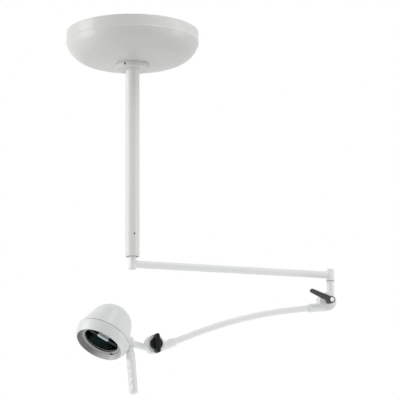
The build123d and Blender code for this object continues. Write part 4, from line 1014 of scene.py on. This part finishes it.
class DENTAL_OT_lever(Step):
    """Clamp lever of the elbow"""

    bl_idname = "dental_light.lever"
    bl_label = "Clamp lever"

    def execute(self, context):
        settings = context.scene.dental_lever
        make_piece("clamp_lever_moulding", lever_shapes(settings),
                   hinge_seat("lever_turn", settings.angle), "elbow_lever", ["clamp_lever"],
                   Step.made["lever"])
        return {"FINISHED"}


class DENTAL_OT_knob(Step):
    """Wing knob of the wrist"""

    bl_idname = "dental_light.knob"
    bl_label = "Wing knob"

    def execute(self, context):
        settings = context.scene.dental_knob
        make_piece("wing_knob_moulding", wing_shapes(settings),
                   hinge_seat("knob_turn", settings.angle), "wrist_knob", ["wing_knob"],
                   Step.made["knob"])
        return {"FINISHED"}


class DENTAL_OT_handle(Step):
    """Moulded handle with finger waves"""

    bl_idname = "dental_light.handle"
    bl_label = "Handle"

    def execute(self, context):
        settings = context.scene.dental_handle
        head = head_seat(context.scene.dental_head)
        tilt = math.radians(settings.tilt)
        turn = head[:3, :3] / MILLIMETRE
        top = head @ np.array([settings.top_radius, 0, settings.top_height, 1.0])
        place = seat(top[:3], turn @ np.array([math.sin(tilt), 0, -math.cos(tilt)]),
                     turn @ np.array([math.cos(tilt), 0, math.sin(tilt)]))
        make_piece("handle_moulding", [handle_surface(settings)], place, "lamp_head", ["handle_grip"],
                   Step.made["white"])
        return {"FINISHED"}


def floor_material():
    """Pale matt floor, lifted to white where it is seen and open from below its surface."""
    material = bpy.data.materials.new("pale_floor")
    made = Nodes(material)
    matt = made.node("ShaderNodeBsdfDiffuse", None, {"Color": (0.5, 0.5, 0.495, 1.0)})
    glow = made.node("ShaderNodeEmission", None, {"Color": WHITE, "Strength": 0.8})
    top = made.node("ShaderNodeAddShader", None, {0: matt, 1: glow})
    below = made.node("ShaderNodeNewGeometry", output="Backfacing")
    clear = made.node("ShaderNodeBsdfTransparent")
    surface = made.node("ShaderNodeMixShader", None, {0: below, 1: top, 2: clear})
    made.node("ShaderNodeOutputMaterial", None, {"Surface": surface})
    return material


def studio_world(ambient):
    """Even room light, which cameras, gloss and glass see as plain white."""
    world = bpy.data.worlds.new("studio")
    made = Nodes(world)
    direct, gloss, glass = (made.node("ShaderNodeLightPath", output=f"Is {kind} Ray")
                            for kind in ("Camera", "Glossy", "Transmission"))
    room = made.node(
        "ShaderNodeBackground", None, {"Color": (0.97, 0.985, 1.0, 1.0), "Strength": ambient})
    white = made.node("ShaderNodeBackground", None, {"Color": WHITE, "Strength": 1.0})
    seen = made.node("ShaderNodeMixShader", None, {0: direct + gloss + glass, 1: room, 2: white})
    made.node("ShaderNodeOutputWorld", None, {"Surface": seen})
    return world


class DENTAL_OT_stage(Step):
    """Camera, lamps, floor and room light"""

    bl_idname = "dental_light.stage"
    bl_label = "Stage"

    def execute(self, context):
        settings, scene = context.scene.dental_stage, context.scene
        turn, pitch, roll = (math.radians(angle) for angle in (
            settings.azimuth, settings.pitch, settings.lens_roll))
        right = np.array([math.cos(turn), -math.sin(turn), 0.0])
        ahead = np.array([math.sin(turn), math.cos(turn), 0.0])
        room = np.stack([right, ahead, (0.0, 0.0, 1.0)])

        def put(name, data, origin, axes):
            made = bpy.data.objects.new(name, data)
            scene.collection.objects.link(made)
            place = np.eye(4)
            place[:3, :3], place[:3, 3] = axes, origin
            made.matrix_world = Matrix(place.tolist())
            return made

        look = ahead * math.cos(pitch) + np.array([0, 0, math.sin(pitch)])
        up = np.cross(right, look)
        side = right * math.cos(roll) - up * math.sin(roll)
        data = bpy.data.cameras.new("camera")
        data.lens, data.sensor_width, data.clip_end = settings.lens, 36.0, 60.0
        scene.camera = put("camera", data, CAMERA_SPOT @ room,
                           np.stack([side, np.cross(-look, side), -look], axis=1))
        scene.view_settings.view_transform = "Standard"

        for name, power, size, spot, target in LAMPS:
            data = bpy.data.lights.new(name, "AREA")
            data.energy, data.shape = getattr(settings, power), "RECTANGLE"
            data.size, data.size_y = size
            spot, target = MIDDLE + spot @ room, MIDDLE + (0.0, 0.0, target)
            put(name, data, spot, seat(spot, spot - target, LAMP_SIDE)[:3, :3] / MILLIMETRE)

        mesh = bpy.data.meshes.new("floor")
        rings = len(FLOOR_RINGS)
        disc, _, _ = lathe(np.array([(radius, 0.0) for radius in FLOOR_RINGS]), FLOOR_SIDES)
        mesh.from_pydata(disc.reshape(-1, 3) + (0, 0, settings.floor), [],
                         grid_faces(rings, FLOOR_SIDES, False, True)[:, ::-1])
        mesh.materials.append(floor_material())
        floor = put("floor", mesh, (0.0, 0.0, 0.0), np.eye(3))
        floor.visible_diffuse = floor.visible_shadow = False
        scene.world = studio_world(settings.ambient)
        return {"FINISHED"}


class DENTAL_PT_panel(bpy.types.Panel):
    """Steps of the dental light, in the order in which they run"""

    bl_idname = "DENTAL_PT_panel"
    bl_label = "Dental light"
    bl_space_type = "VIEW_3D"
    bl_region_type = "UI"
    bl_category = "Dental light"

    def draw(self, context):
        for step in STEPS:
            self.layout.operator(step.bl_idname, text=step.bl_label)


SETTINGS = {
    "dental_finishes": FinishSettings, "dental_canopy": CanopySettings, "dental_head": HeadSettings,
    "dental_handle": HandleSettings, "dental_lever": LeverSettings, "dental_knob": KnobSettings,
    "dental_stage": StageSettings,
}
STEPS = (
    DENTAL_OT_enamel, DENTAL_OT_metals, DENTAL_OT_plastics, DENTAL_OT_optics, DENTAL_OT_canopy,
    DENTAL_OT_welds, DENTAL_OT_lever, DENTAL_OT_knob, DENTAL_OT_handle, DENTAL_OT_stage,
)


def register():
    for name, group in SETTINGS.items():
        bpy.utils.register_class(group)
        setattr(bpy.types.Scene, name, PointerProperty(type=group))
    for step in (*STEPS, DENTAL_PT_panel):
        bpy.utils.register_class(step)


def unregister():
    for step in (DENTAL_PT_panel, *reversed(STEPS)):
        bpy.utils.unregister_class(step)
    for name, group in reversed(SETTINGS.items()):
        delattr(bpy.types.Scene, name)
        bpy.utils.unregister_class(group)


def main():
    register()
    for step in STEPS:
        family, name = step.bl_idname.split(".")
        getattr(getattr(bpy.ops, family), name)()


if __name__ == "__main__":
    main()
